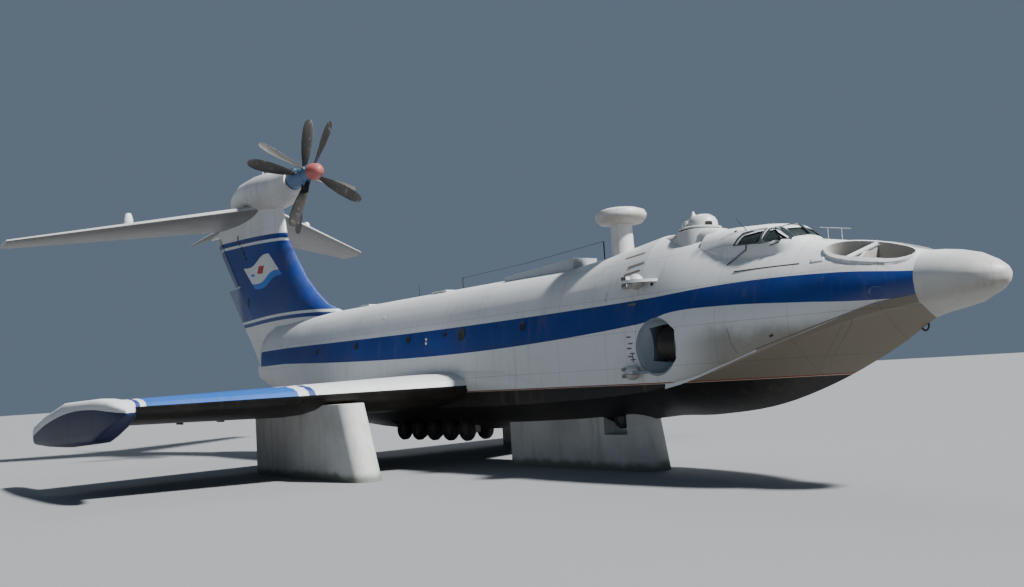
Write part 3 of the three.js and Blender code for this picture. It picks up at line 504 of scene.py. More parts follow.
@dataclass(frozen=True)
class HullPaint(Finish):
    """White sides with a blue stripe whose lighter patches are painted sheen, a beige forefoot darkened as
    painted shade, stain with painted shade low on the bow, painted shade on faces that look down, an oval of
    painted scoop shade round each nozzle, red and cream lines and a black bottom.
    """

    plates: Plates = Plates(1.3, 0.62)
    heights: tuple = (1.0, 4.0)
    water: float = 1.565
    cream_top: float = 1.572
    red_top: float = 1.59
    stripe_from: float = model_x(44.3)
    stripe_to: float = model_x(2.15)
    split: float = model_x(11.85)
    hold_half: float = 0.803
    hold_rear: float = -3.32
    hold_floor: float = 1.49
    hold_top: float = 3.11
    # Where the stain and painted shade lie low on the bow's sides.
    stain_and_shade_top: tuple = (2.42, 2.77)
    stain_and_shade_from: tuple = (9.4, 10.6)
    stain_and_shade_share: float = 0.85
    stain_and_shade_noise: tuple = (1.4, 4, 0.5)
    belly_share: float = 0.5
    belly_span: tuple = (-0.12, 0.55)
    # Lighter blue patches on the stripe, painted sheen.
    lighter_blue_patches: Cloud = Cloud(0.7, 3, 0.45, 0.75, 0.35)
    # Oval of painted scoop shade: middle and half size along x and in height.
    scoop: tuple = ((9.10, 0.50), (2.187, 0.485))
    scoop_out: float = 0.9

    def band(self, graph: Graph, value: object, low: object, high: object) -> NodeSocket:
        """Mask the part of the surface where a value lies between two others."""
        return graph.group(BAND, {"Value": value, "Low": low, "High": high}).outputs[0]

    def paint(self, graph: Graph) -> NodeSocket:
        """Lay the paints over each other from the sides to the bottom."""
        point, x, y, z = graph.place()
        out = graph.math("ABSOLUTE", y)
        top, foot, chine = (
            graph.follow(x, [(model_x(station), high) for station, high in line], *self.heights)
            for line in (STRIPE_TOP, STRIPE_FOOT, CHINE)
        )
        along = self.band(graph, x, self.stripe_from, self.stripe_to)
        stripe = graph.times(self.band(graph, z, foot, top), along)
        # Painted sheen: lighter blue patches on the stripe stand in for highlights.
        blue = graph.mix(self.lighter_blue_patches.mask(graph, point), Tint.BLUE, Tint.MID_BLUE)
        colour = graph.mix(stripe, Tint.WHITE, blue)
        # Brown stain and painted shade low on the bow's sides, darker downwards.
        uneven = graph.ragged(z, point, *self.stain_and_shade_noise)
        stain_and_shade = graph.minus(1.0, graph.ramp(uneven, *self.stain_and_shade_top))
        stain_and_shade = graph.times(stain_and_shade, graph.ramp(x, *self.stain_and_shade_from))
        colour = graph.mix(graph.times(stain_and_shade, self.stain_and_shade_share), colour, Tint.STAIN_AND_SHADE)
        # Beige forefoot below the chine, its beige darkened as painted shade.
        forefoot = graph.times(graph.less(z, chine), graph.more(x, self.split))
        colour = graph.mix(forefoot, colour, Tint.SHADED_BEIGE)
        # Painted shade: faces that look down turn towards the grime colour.
        shade_below = graph.times(graph.facing_down(*self.belly_span), self.belly_share)
        colour = graph.mix(shade_below, colour, Tint.GRIME_AND_SHADE)
        for limit, tint in ((self.red_top, Tint.RED), (self.cream_top, Tint.CREAM), (self.water, Tint.BLACK)):
            colour = graph.mix(graph.less(z, limit), colour, tint)
        # Painted shade: an oval round each nozzle in the scoop's shaded tint, so the recess reads larger.
        spans = [
            graph.math("DIVIDE", graph.minus(value, middle), half)
            for value, (middle, half) in zip((x, z), self.scoop)
        ]
        oval = graph.times(graph.less(graph.reach(*spans), 1.0), graph.more(out, self.scoop_out))
        colour = graph.mix(oval, colour, Tint.SCOOP_SHADE)
        inside = graph.less(out, self.hold_half)
        for value, low, high in ((z, self.hold_floor, self.hold_top), (x, self.hold_rear, self.split)):
            inside = graph.times(inside, self.band(graph, value, low, high))
        return graph.mix(inside, colour, Tint.PRIMER)


@dataclass(frozen=True)
class FinPaint(Finish):
    """Blue fin between sloping white and blue bands, with a wavy pennant on its side, and blotches of painted
    shade where shade is set.
    """

    plates: Plates = Plates(1.15, 0.85)
    head: tuple = ((-12.5, 6.83), (-10.44, 6.71), (-6.41, 6.47), (-5.5, 6.41))
    head_blue: tuple = (-0.095, 0.055)
    head_white: float = -0.185
    foot: tuple = ((-9.19, 4.05), (-5.33, 4.03), (-2.88, 3.88), (-1.0, 3.76))
    foot_white: tuple = (-0.04, 0.04)
    foot_blue: float = -0.15
    heights: tuple = (3.0, 8.0)
    shade: float = 0.0
    fade: float = 0.0
    fade_span: tuple = (-10.35, -9.7)
    lighter_blue_patches: Cloud = Cloud(0.6, 3, 0.4, 0.75, 0.4)
    # Blotches of painted shade, scaled by shade.
    shade_blotches: Cloud = Cloud(2.2, 4, 0.35, 0.6)

    def paint(self, graph: Graph) -> NodeSocket:
        """Lay the bands and the pennant on the blue field."""
        point, x, _, z = graph.place()
        head = graph.minus(z, graph.follow(x, self.head, *self.heights))
        foot = graph.minus(z, graph.follow(x, self.foot, *self.heights))
        blue = graph.mix(self.lighter_blue_patches.mask(graph, point), Tint.BLUE, Tint.MID_BLUE)
        colour = Tint.WHITE
        for value, limit, tint in (
            (foot, self.foot_blue, Tint.BLUE), (foot, self.foot_white[0], Tint.WHITE),
            (foot, self.foot_white[1], blue), (head, self.head_white, Tint.WHITE),
            (head, self.head_blue[0], Tint.BLUE), (head, self.head_blue[1], Tint.WHITE),
        ):
            colour = graph.mix(graph.more(value, limit), colour, tint)
        colour = Pennant().lay(graph, x, z, colour)
        # Painted shade: where shade is set, as on the upper rudder turned away from the light, blotches
        # darken the paint.
        colour = graph.mix(graph.times(self.shade_blotches.mask(graph, point), self.shade), colour, Tint.SOOT_AND_SHADE)
        behind = graph.minus(1.0, graph.ramp(x, *self.fade_span))
        return graph.mix(graph.times(behind, self.fade), colour, Tint.GREY)


@dataclass(frozen=True)
class Pennant:
    """A plain wavy pennant: white over light blue, with a red and a small light blue lozenge."""

    corner: tuple = (-9.31, 5.74)
    along: tuple = (1.96, 0.22)
    down: tuple = (0.89, -0.75)
    wave: tuple = (6.0, -0.3, 0.10)
    low_from: float = 0.76
    spots: tuple = (((0.52, 0.36), 0.17, Tint.FLAG_RED), ((0.18, 0.36), 0.08, Tint.LIGHT_BLUE))

    def lay(self, graph: Graph, x: object, z: object, under: object) -> NodeSocket:
        """Paint the pennant over a colour.

        Args:
            graph: The tree to build in.
            x: The surface's x.
            z: The surface's height.
            under: The colour beneath.

        Returns:
            The colour with the pennant on it.
        """
        (ax, az), (dx, dz) = self.along, self.down
        turn = ax * dz - az * dx
        px, pz = graph.minus(x, self.corner[0]), graph.minus(z, self.corner[1])
        u = graph.plus(graph.times(px, dz / turn), graph.times(pz, -dx / turn))
        v = graph.plus(graph.times(px, -az / turn), graph.times(pz, ax / turn))
        rate, start, swing = self.wave
        v = graph.minus(v, graph.times(graph.math("SINE", graph.math("MULTIPLY_ADD", u, rate, start)), swing))
        within = [
            graph.group(BAND, {"Value": value, "Low": 0.0, "High": 1.0}).outputs[0] for value in (u, v)
        ]
        field_mask = graph.times(*within)
        colour = graph.mix(field_mask, under, Tint.WHITE)
        low = graph.times(field_mask, graph.more(v, self.low_from))
        colour = graph.mix(low, colour, Tint.LIGHT_BLUE)
        for centre, size, tint in self.spots:
            far = [graph.math("ABSOLUTE", graph.minus(*pair)) for pair in zip((u, v), centre)]
            spot = graph.times(graph.less(graph.plus(*far), size), field_mask)
            colour = graph.mix(spot, colour, tint)
        return colour


@dataclass(frozen=True)
class WingPaint(Finish):
    """White inboard, blue outboard with thin bands between, and black below."""

    bands: tuple = (
        (4.05, Tint.BLUE), (4.175, Tint.WHITE), (4.375, Tint.WING_BLUE), (7.08, Tint.WHITE),
        (7.18, Tint.BLUE), (7.26, Tint.WHITE),
    )
    plates: Plates = Plates(0.9, 0.7, 0.004, True)
    under: float = 0.10

    def paint(self, graph: Graph) -> NodeSocket:
        """Lay the bands outwards from the root, then the black underside."""
        _, _, y, _ = graph.place()
        out = graph.math("ABSOLUTE", y)
        colour = Tint.WHITE
        for start, tint in self.bands:
            colour = graph.mix(graph.more(out, start), colour, tint)
        return graph.mix(graph.less(graph.facing_up(), self.under), colour, Tint.BLACK)


@dataclass(frozen=True)
class FloatPaint(Finish):
    """Navy sides with dark ribs, below a white back."""

    plates: Plates = Plates(0.8, 0.34)
    line: tuple = ((-3.9, 1.10), (-1.5, 1.55), (0.5, 1.70), (2.6, 1.62))
    ribs: tuple = (-2.0, -0.47, 1.15)
    rib: float = 0.035

    def paint(self, graph: Graph) -> NodeSocket:
        """Divide navy from white along a curved line."""
        _, x, _, z = graph.place()
        edge = graph.follow(x, self.line, 0.0, 3.0)
        side = Tint.NAVY
        for rib in self.ribs:
            near = graph.less(graph.math("ABSOLUTE", graph.minus(x, rib)), self.rib)
            side = graph.mix(near, side, Tint.BLACK)
        return graph.mix(graph.more(z, edge), side, Tint.WHITE)


@dataclass(frozen=True)
class BladePaint(Finish):
    """Dark propeller blades with worn patches on a bluish hub, and a red spinner ahead of it."""

    roughness: float = 0.5
    runs: float = 0.1
    hub_z: float = 8.0
    hub_radius: float = 0.29
    spinner_from: float = NOWHERE
    worn: Cloud = Cloud(7.0, 5, 0.56, 0.72, 0.5)

    def paint(self, graph: Graph) -> NodeSocket:
        """Choose hub, spinner or blade paint by the distance from the shaft and along it."""
        point, x, y, z = graph.place()
        blade = graph.mix(self.worn.mask(graph, point), Tint.BLADE, Tint.WORN)
        hub = graph.less(graph.reach(y, graph.minus(z, self.hub_z)), self.hub_radius)
        colour = graph.mix(hub, blade, Tint.HUB)
        red = graph.times(hub, graph.more(x, self.spinner_from))
        return graph.mix(red, colour, Tint.SPINNER)


@dataclass(frozen=True)
class WheelPaint(Finish):
    """Black tyres round dark rims."""

    roughness: float = 0.8
    runs: float = 0.0
    axle: tuple = (0.0, 0.71)
    rim: float = 0.135

    def paint(self, graph: Graph) -> NodeSocket:
        """Choose rim or tyre by the distance from the axle."""
        _, x, _, z = graph.place()
        far = graph.reach(graph.minus(x, self.axle[0]), graph.minus(z, self.axle[1]))
        return graph.mix(graph.less(far, self.rim), Tint.RUBBER, Tint.WHEEL)


@dataclass(frozen=True)
class Concrete(Finish):
    """Cast concrete with stains and a damp dark foot."""

    roughness: float = 0.85
    runs: float = 0.45
    blotches: float = 0.3
    bump: float = 0.5
    damp: tuple = (0.16, 0.32)
    damp_noise: tuple = (2.5, 5, 0.22)
    damp_share: float = 0.8
    pours: Cloud = Cloud(1.1, 5, 0.4, 0.7, 0.5)
    pits: Cloud = Cloud(22.0, 6, 0.62, 0.8, 0.5)

    def paint(self, graph: Graph) -> NodeSocket:
        """Lay pours and stains on the grey, and algae at the foot."""
        point, _, _, z = graph.place()
        colour = graph.mix(self.pours.mask(graph, point), Tint.CONCRETE, Tint.POUR)
        colour = graph.mix(self.pits.mask(graph, point), colour, Tint.GRIME_AND_SHADE)
        uneven = graph.ragged(z, point, *self.damp_noise)
        foot = graph.minus(1.0, graph.ramp(uneven, *self.damp))
        return graph.mix(graph.times(foot, self.damp_share), colour, Tint.ALGAE)


@dataclass(frozen=True)
class Glass(Finish):
    """Tinted window glass with a little dust."""

    clear: float = 0.75
    bending: float = 1.45
    dust: Cloud = Cloud(3.0, 5, 0.4, 0.8)
    dust_roughness: tuple = (0.18, 0.04)

    def build(self) -> Material:
        """Make a glass material whose roughness varies with dust."""
        material = bpy.data.materials.new(self.name)
        material.use_nodes = True
        graph = Graph(material.node_tree)
        shader = material.node_tree.nodes["Principled BSDF"]
        shader.inputs["Transmission Weight"].default_value = self.clear
        shader.inputs["IOR"].default_value = self.bending
        dust = self.dust.mask(graph, graph.place()[0])
        graph.put(shader.inputs["Base Color"], graph.mix(dust, Tint.GLASS, Tint.DUST))
        graph.put(shader.inputs["Roughness"], graph.math("MULTIPLY_ADD", dust, *self.dust_roughness))
        return material


# Meshes


class Edges(Enum):
    """Angles in degrees above which a piece's edges stay sharp."""

    CRISP = 30
    FIRM = 35
    EVEN = 40
    ROUND = 45
    SOFT = 50
    SMOOTH = 60


def only(piece: Object) -> None:
    """Select one object alone and make it the active one."""
    bpy.ops.object.select_all(action="DESELECT")
    piece.select_set(True)
    bpy.context.view_layer.objects.active = piece


def linked(name: str, data: ID) -> Object:
    """Put a new object that holds some data in the scene."""
    made = bpy.data.objects.new(name, data)
    bpy.context.scene.collection.objects.link(made)
    return made


def settle(piece: Object) -> None:
    """Move an object's place, turn and scale into its mesh."""
    only(piece)
    bpy.ops.object.transform_apply(location=True, rotation=True, scale=True)


def smooth(piece: Object, edges: Edges) -> None:
    """Shade a piece smooth, with sharp edges above an angle."""
    only(piece)
    bpy.ops.object.shade_smooth_by_angle(angle=math.radians(edges.value))


def apply(piece: Object, kind: str, **settings: object) -> None:
    """Add a modifier with its settings and apply it."""
    only(piece)
    made = piece.modifiers.new(kind.title(), kind)
    for name, value in settings.items():
        setattr(made, name, value)
    bpy.ops.object.modifier_apply(modifier=made.name)


def edit(piece: Object) -> None:
    """Enter edit mode with everything selected."""
    only(piece)
    bpy.ops.object.mode_set(mode="EDIT")
    bpy.ops.mesh.select_all(action="SELECT")


def leave() -> None:
    """Go back to object mode."""
    bpy.ops.object.mode_set(mode="OBJECT")


def pick(piece: Object, test: Callable[[Vector, Vector], bool]) -> None:
    """Enter edit mode with only the faces selected that pass a test.

    Args:
        piece: The mesh to work on.
        test: Takes a face's middle and normal, and says whether it is wanted.
    """
    edit(piece)
    bpy.ops.mesh.select_mode(type="FACE")
    bpy.ops.mesh.select_all(action="DESELECT")
    leave()
    for face in piece.data.polygons:
        face.select = test(face.center, face.normal)
    bpy.ops.object.mode_set(mode="EDIT")


def tube(points: list | tuple, radius: float, end: float | None = None) -> Object:
    """Make a round bar through points.

    Args:
        points: Points of its middle line, in metres.
        radius: Half its thickness.
        end: Half its thickness at the last point, where it tapers.

    Returns:
        The bar as a mesh with closed ends.
    """
    line = bpy.data.curves.new("bar", "CURVE")
    line.dimensions = "3D"
    line.bevel_depth = radius
    line.bevel_resolution = 2
    line.use_fill_caps = True
    spline = line.splines.new("POLY")
    spline.points.add(len(points) - 1)
    taper = 1.0 if end is None else end / radius
    for index, (knot, point) in enumerate(zip(spline.points, points)):
        knot.co = (*point, 1)
        knot.radius = 1.0 + (taper - 1.0) * index / (len(points) - 1)
    only(linked("bar", line))
    bpy.ops.object.convert(target="MESH")
    return bpy.context.view_layer.objects.active


def block(size: tuple, place: tuple, bevel: float, top: float = 1.0) -> Object:
    """Make a bevelled block whose top may be narrower than its foot.

    Args:
        size: Its length, width and height.
        place: Its middle.
        bevel: Width of its rounded edges.
        top: Scale of its top face.

    Returns:
        The block.
    """
    bpy.ops.mesh.primitive_cube_add(size=1.0)
    made = bpy.context.active_object
    made.scale = size
    settle(made)
    pick(made, faces_up)
    bpy.ops.transform.resize(value=(top, top, 1.0))
    leave()
    apply(made, "BEVEL", width=bevel, segments=2)
    made.location = place
    settle(made)
    return made


def spun(profile: list | tuple, place: tuple, axis: Vector = UP, sides: int = ROUND_SIDES) -> Object:
    """Spin a profile round its own axis and stand it on a place.

    Args:
        profile: Radius and height of each point, from foot to head.
        place: Where the axis starts.
        axis: Direction of the axis.
        sides: Steps round the axis.

    Returns:
        The spun piece.
    """
    bpy.ops.mesh.primitive_plane_add(size=1.0)
    made = bpy.context.active_object
    made.data.clear_geometry()
    edges = [(index, index + 1) for index in range(len(profile) - 1)]
    made.data.from_pydata([(radius, 0, height) for radius, height in profile], edges, [])
    edit(made)
    bpy.ops.mesh.spin(steps=sides, angle=math.tau, center=(0, 0, 0), axis=(0, 0, 1))
    bpy.ops.mesh.select_all(action="SELECT")
    bpy.ops.mesh.remove_doubles(threshold=FINE)
    bpy.ops.mesh.normals_make_consistent(inside=False)
    leave()
    made.rotation_euler = axis.to_track_quat("Z", "Y").to_euler()
    made.location = place
    settle(made)
    return made


def slot_of(node: str) -> str:
    """Return the record's material slot of a CAD node."""
    for part in frame["record"]["subparts"]:
        if part["node"] == node:
            return part["material_slot"]
    return frame["record"]["materials"][0]["slot"]


@cache
def coat(finish: Finish) -> Material:
    """Return a finish's material, built the first time that it is asked for."""
    return finish.build()


def wear(piece: Object, material: Material) -> None:
    """Give a piece one material all over."""
    piece.data.materials.clear()
    piece.data.materials.append(material)


@dataclass
class Skin:
    """A CAD node's form, merged and shaded smooth, that stands for the node."""

    node: str
    finish: Finish
    edges: Edges = Edges.EVEN
    merge: float = 0.8

    def build(self) -> Object:
        """Copy the node's mesh, merge it, shade it and put it in the node's place."""
        source = frame["nodes"][self.node]
        piece = linked(self.node + "_skin", source.data.copy())
        only(piece)
        if piece.data.has_custom_normals:
            bpy.ops.mesh.customdata_custom_splitnormals_clear()
        edit(piece)
        bpy.ops.mesh.remove_doubles(threshold=FINE)
        bpy.ops.mesh.dissolve_limited(angle_limit=math.radians(self.merge))
        leave()
        smooth(piece, self.edges)
        apply(piece, "WEIGHTED_NORMAL", keep_sharp=True)
        wear(piece, coat(self.finish))
        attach(piece, source["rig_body"])
        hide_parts(self.node)
        slot_of(self.node)
        LOG.info("dressed %s", self.node)
        return piece


def fit(name: str, body: str, finish: Finish, parts: list, edges: Edges = Edges.FIRM) -> None:
    """Join parts into one piece, shade, paint and mount it.

    Args:
        name: The piece's name.
        body: The body that it rides on.
        finish: Its finish.
        parts: Mesh objects in place.
        edges: How sharp an edge has to be to stay so.
    """
    for part in parts:
        settle(part)
    bpy.ops.object.select_all(action="DESELECT")
    for part in parts:
        part.select_set(True)
    piece = bpy.context.view_layer.objects.active = parts[0]
    if len(parts) > 1:
        bpy.ops.object.join()
    piece.name = name
    smooth(piece, edges)
    wear(piece, coat(finish))
    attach(piece, body)
    LOG.info("fitted %s", name)


def second_coat(piece: Object, finish: Finish, test: Callable) -> None:
    """Give the faces that pass a test another finish.

    Args:
        piece: A finished skin.
        finish: The finish for those faces.
        test: Takes a face's middle and normal, and says whether it is wanted.
    """
    pick(piece, test)
    piece.data.materials.append(coat(finish))
    piece.active_material_index = len(piece.data.materials) - 1
    bpy.ops.object.material_slot_assign()
    leave()


def soften(piece: Object, degrees: float, test: Callable) -> None:
    """Shade part of a skin smooth up to a larger angle.

    Args:
        piece: A finished skin.
        degrees: The angle above which its edges stay sharp.
        test: Takes a face's middle and normal, and says whether it is in that part.
    """
    pick(piece, test)
    bpy.ops.mesh.mark_sharp(clear=True)
    bpy.ops.mesh.select_mode(type="EDGE")
    bpy.ops.mesh.select_all(action="DESELECT")
    bpy.ops.mesh.edges_select_sharp(sharpness=math.radians(degrees))
    bpy.ops.mesh.mark_sharp()
    bpy.ops.mesh.select_mode(type="FACE")
    leave()


HULL = HullPaint("hull_paint", sheen=0.2)
# The shell paint darkens faces that look down as painted shade, as on the radome's lower half.
SHELL = Plain("radome_paint", tint=Tint.SHELL, runs=0.3, blotches=0.3, below=0.6)
GREY = Plain("grey_paint", tint=Tint.GREY, plates=Plates(0.9, 0.6, 0.004, True))
TAIL = TailPaint("tail_paint", tint=Tint.TAIL, blotches=0.25, plates=Plates(0.7, 0.8, 0.004, True))
RIM = Plain("port_rims", tint=Tint.NAVY, runs=0.1)
RING = Plain("ring_paint", tint=Tint.RING, runs=0.1)
# Dark grey for locks and slots, also painted shadow on the hinge forks.
LOCK = Plain("lock_and_shade_paint", tint=Tint.LOCK, runs=0.1)
# Grimy dents darkened as painted shade, and dark plate lines.
SHADED_DENT_AND_LINES = Plain("shaded_dent_and_line_paint", tint=Tint.SHADED_DENT_AND_LINES, runs=0.5, blotches=0.9)
# Painted shade for the scoop walls, with runs and blotches of dirt.
SCOOP_SHADE = Plain("scoop_painted_shade", tint=Tint.SCOOP_SHADE, runs=0.4, blotches=0.5)
# The nacelle paint darkens faces that look down as painted shade.
NACELLE = Plain("nacelle_paint", tint=Tint.WHITE, runs=0.4, blotches=0.35, below=0.5)
TRIM = Plain("trim_paint", tint=Tint.WHITE, runs=0.1)
# Painted shade for the intakes' inner walls and the vane plates.
DUCT_SHADE = Plain("duct_painted_shade", tint=Tint.DUCT_SHADE, runs=0.4, blotches=0.5)
DARK = Plain("dark_metal", tint=Tint.SOOT_AND_SHADE, metallic=0.6, roughness=0.5, blotches=0.4)
BAND_GLASS = Plain("window_band_paint", tint=Tint.SMOKE, roughness=0.12, runs=0.1, blotches=0.2)
BLACK = Plain("black_paint", tint=Tint.BLACK, roughness=0.35)
STEEL = Plain("gear_steel", tint=Tint.STEEL, metallic=0.7, roughness=0.5, blotches=0.5, grime_and_shade=Tint.RUST)
GLASS = Glass("window_glass")
FIN = FinPaint("fin_paint", sheen=0.3)
# The upper rudder, turned away from the light, is darkened as painted shade.
RUDDER_UPPER = FinPaint("rudder_upper_paint", shade=0.6)
RUDDER_LOWER = FinPaint("rudder_lower_paint", fade=0.45)
WING = WingPaint("wing_paint", sheen=0.2)
FLOAT = FloatPaint("float_paint", sheen=0.15)
CONCRETE = Concrete("cast_concrete")


LEVEL = 0.9
DISH_HEIGHT = 0.024
DOME_STEPS = 6
DOME_SIDES = 20
DOME_FOOT = -0.05
STUD_EDGE = 0.1


def faces_up(centre: Vector, normal: Vector) -> bool:
    """Tell whether a face looks straight up."""
    return normal.z > LEVEL


def dish(depth: float, lip: float) -> Object:
    """Model a round dish one metre across, with a raised lip, that lies on a surface."""
    bpy.ops.mesh.primitive_cylinder_add(vertices=ROUND_SIDES, radius=0.5, depth=DISH_HEIGHT)
    made = bpy.context.active_object
    pick(made, faces_up)
    bpy.ops.mesh.inset(thickness=0.5 * (1.0 - lip))
    bpy.ops.transform.translate(value=(0, 0, -depth))
    leave()
    return made


def dome(height: float) -> Object:
    """Model a dome one metre across that stands on a surface."""
    turns = [math.radians(90 / DOME_STEPS * step) for step in range(DOME_STEPS)]
    arc = [(0.5 * math.cos(turn), height * math.sin(turn)) for turn in turns]
    return spun([(0.5, DOME_FOOT), *arc, (0.0, height)], (0, 0, 0), sides=DOME_SIDES)


def stud() -> Object:
    """Model a block one metre wide with rounded edges, that lies on a surface."""
    return block((1, 1, 1), (0, 0, 0), STUD_EDGE)


def strike(piece: Object, start: tuple, way: tuple) -> tuple:
    """Cast a ray at a piece and return the place that it meets and the normal there."""
    found, place, normal, _ = piece.ray_cast(Vector(start), Vector(way))
    if not found:
        raise ValueError(f"nothing of {piece.name} lies on the way from {start}")
    return place, normal


def from_side(piece: Object, x: float, z: float, side: float) -> tuple:
    """Meet a piece from port or starboard at an x and a height."""
    return strike(piece, (x, side * REACH, z), (0, -side, 0))


def from_above(piece: Object, x: float) -> Vector:
    """Return the top of a piece on the middle line at an x."""
    return strike(piece, (x, 0.0, REACH), (0, 0, -1))[0]


def seated(model: Object, hit: tuple, size: tuple, turn: float = 0.0) -> Object:
    """Copy a model onto a surface.

    Args:
        model: The piece to copy, with its foot at the origin and its head along z.
        hit: The place on the surface and the surface's normal there.
        size: Scale of the copy along the surface, up the surface and outwards.
        turn: Its turn in the surface, in degrees.

    Returns:
        The copy, in place.
    """
    place, normal = hit
    across = UP.cross(normal)
    across = across.normalized() if across.length > PLUMB else Vector((0, 1, 0))
    upright = normal.cross(across).normalized()
    made = linked(model.name, model.data.copy())
    axes = Matrix((across, upright, normal)).transposed().to_4x4()
    spin = Matrix.Rotation(math.radians(turn), 4, "Z")
    made.matrix_world = Matrix.Translation(place) @ axes @ spin @ Matrix.Diagonal((*size, 1))
    settle(made)
    return made


def row(model: Object, piece: Object, side: float, table: tuple | list,
        turn: float = 0.0) -> list:
    """Seat copies of a model on one side of a piece.

    Args:
        model: The piece to copy.
        piece: The skin that the copies lie on.
        side: 1 for port and -1 for starboard.
        table: The x, height and size of each copy.
        turn: Their turn in the surface, in degrees.

    Returns:
        The copies.
    """
    return [seated(model, from_side(piece, x, z, side), size, turn) for x, z, size in table]


def post(piece: Object, top: tuple, radius: float, end: float | None = None) -> Object:
    """Stand a bar on a piece's middle line, up to a point."""
    foot = from_above(piece, top[0])
    return tube([(top[0], 0, foot.z - SUNK), top], radius, end)


def discard(*models: Object) -> None:
    """Take away models that were only copied."""
    for model in models:
        bpy.data.objects.remove(model)


def sheet(rows: list, thickness: float) -> Object:
    """Make a plate through rows of points.

    Args:
        rows: Rows with the same number of points.
        thickness: The plate's thickness, half on each side.

    Returns:
        The plate.
    """
    count = len(rows[0])
    faces = [
        (r * count + c, r * count + c + 1, (r + 1) * count + c + 1, (r + 1) * count + c)
        for r in range(len(rows) - 1)
        for c in range(count - 1)
    ]
    mesh = bpy.data.meshes.new("sheet")
    mesh.from_pydata([point for row in rows for point in row], [], faces)
    made = linked("sheet", mesh)
    apply(made, "SOLIDIFY", thickness=thickness, offset=0.0)
    return made


def swollen(place: tuple, halves: tuple, cut: float, sides: int = 32, rings: int = 18) -> Object:
    """Model an egg-shaped bulge that is cut flat on top.

    Args:
        place: Its middle.
        halves: Half its length, width and height.
        cut: Height of the cut above its middle, against half its height.
        sides: Steps round it.
        rings: Steps from its foot to its head.

    Returns:
        The bulge.
    """
    bpy.ops.mesh.primitive_uv_sphere_add(segments=sides, ring_count=rings, radius=1.0)
    made = bpy.context.active_object
    edit(made)
    bpy.ops.mesh.bisect(plane_co=(0, 0, cut), plane_no=(0, 0, 1), use_fill=True, clear_outer=True)
    bpy.ops.mesh.select_all(action="SELECT")
    bpy.ops.transform.resize(value=halves)
    leave()
    made.location = place
    settle(made)
    return made


@dataclass(frozen=True)
class Gasket:
    """A flat band round the outer face of a pane, on the hull."""

    width: float = 0.048
    lift: float = 0.012
    thickness: float = 0.004
    outward: float = 0.4
    flat: float = 40.0
    cuts: int = 5
    search: float = 0.3
    search_end: float = 0.06

    def ring(self, pane: Object, heart: Vector) -> tuple:
        """Widen the pane's outer face and keep only the band round it.

        Args:
            pane: The pane's skin.
            heart: A point inside the vehicle that the pane faces away from.

        Returns:
            The flat band and the way that it faces.
        """
        made = linked("gasket", pane.data.copy())
        made.data.materials.clear()
        pick(made, lambda centre, normal: normal.dot((centre - heart).normalized()) < self.outward)
        bpy.ops.mesh.delete(type="FACE")
        bpy.ops.mesh.select_all(action="SELECT")
        bpy.ops.mesh.dissolve_limited(angle_limit=math.radians(self.flat))
        leave()
        facing = sum((face.normal * face.area for face in made.data.polygons), Vector()).normalized()
        edit(made)
        bpy.ops.mesh.region_to_loop()
        bpy.ops.mesh.extrude_edges_move()
        leave()
        rim = {vertex.index for vertex in made.data.vertices if vertex.select}
        middle = sum((made.data.vertices[index].co for index in rim), Vector()) / len(rim)
        for index in rim:
            vertex = made.data.vertices[index]
            vertex.co += (vertex.co - middle).normalized() * self.width
        kept = {face.center.copy().freeze() for face in made.data.polygons if rim.intersection(face.vertices)}
        pick(made, lambda centre, normal: centre.copy().freeze() not in kept)
        bpy.ops.mesh.delete(type="FACE")
        bpy.ops.mesh.select_all(action="SELECT")
        bpy.ops.mesh.subdivide(number_cuts=self.cuts)
        leave()
        return made, facing

    def lay(self, pane: Object, hull: Object, heart: Vector) -> Object:
        """Lay the band on the hull, or on the pane where the hull lies deeper.

        Args:
            pane: The pane's skin.
            hull: The skin that the band lies on.
            heart: A point inside the vehicle that the pane faces away from.

        Returns:
            The band.
        """
        made, facing = self.ring(pane, heart)
        for vertex in made.data.vertices:
            start = vertex.co + facing * self.search
            found, place, _, _ = hull.ray_cast(start, -facing, distance=self.search + self.search_end)
            outermost = place if found and (place - vertex.co).dot(facing) > 0 else vertex.co
            vertex.co = outermost + facing * self.lift
        apply(made, "SOLIDIFY", thickness=self.thickness, offset=0.0)
        return made


def mirrored(points: tuple, side: float) -> list:
    """Return starboard points, thrown over to port where the side is 1."""
    return [(x, -y if side > 0 else y, z) for x, y, z in points]


# Where the scoops, the intakes and the round fairings of the hinges lie
SCOOP_X = (model_x(12.1), model_x(9.3))
SCOOP_Z = (1.6, 2.8)
SCOOP_OUT = 0.45
SCOOP_SIDEWAYS = 0.93
SCOOP_FORWARD = 0.2
DUCT_MIDDLE = (model_x(3.5), 0.415)
DUCT_HALVES = (0.95, 0.32)
DUCT_Z = (2.2, 3.42)
DUCT_INWARD = 0.3
HINGE_DIVIDE = 2.5
UPPER_BALL = ((8.675, -1.0), 0.16)
LOWER_BALL = ((8.6, -1.16), 0.145)


def in_scoop(centre: Vector, normal: Vector) -> bool:
    """Tell whether a face belongs to the scoop behind an engine nozzle."""
    along, high = SCOOP_X[0] < centre.x < SCOOP_X[1], SCOOP_Z[0] < centre.z < SCOOP_Z[1]
    turned = abs(normal.y) < SCOOP_SIDEWAYS and normal.x > SCOOP_FORWARD
    return along and high and abs(centre.y) > SCOOP_OUT and turned


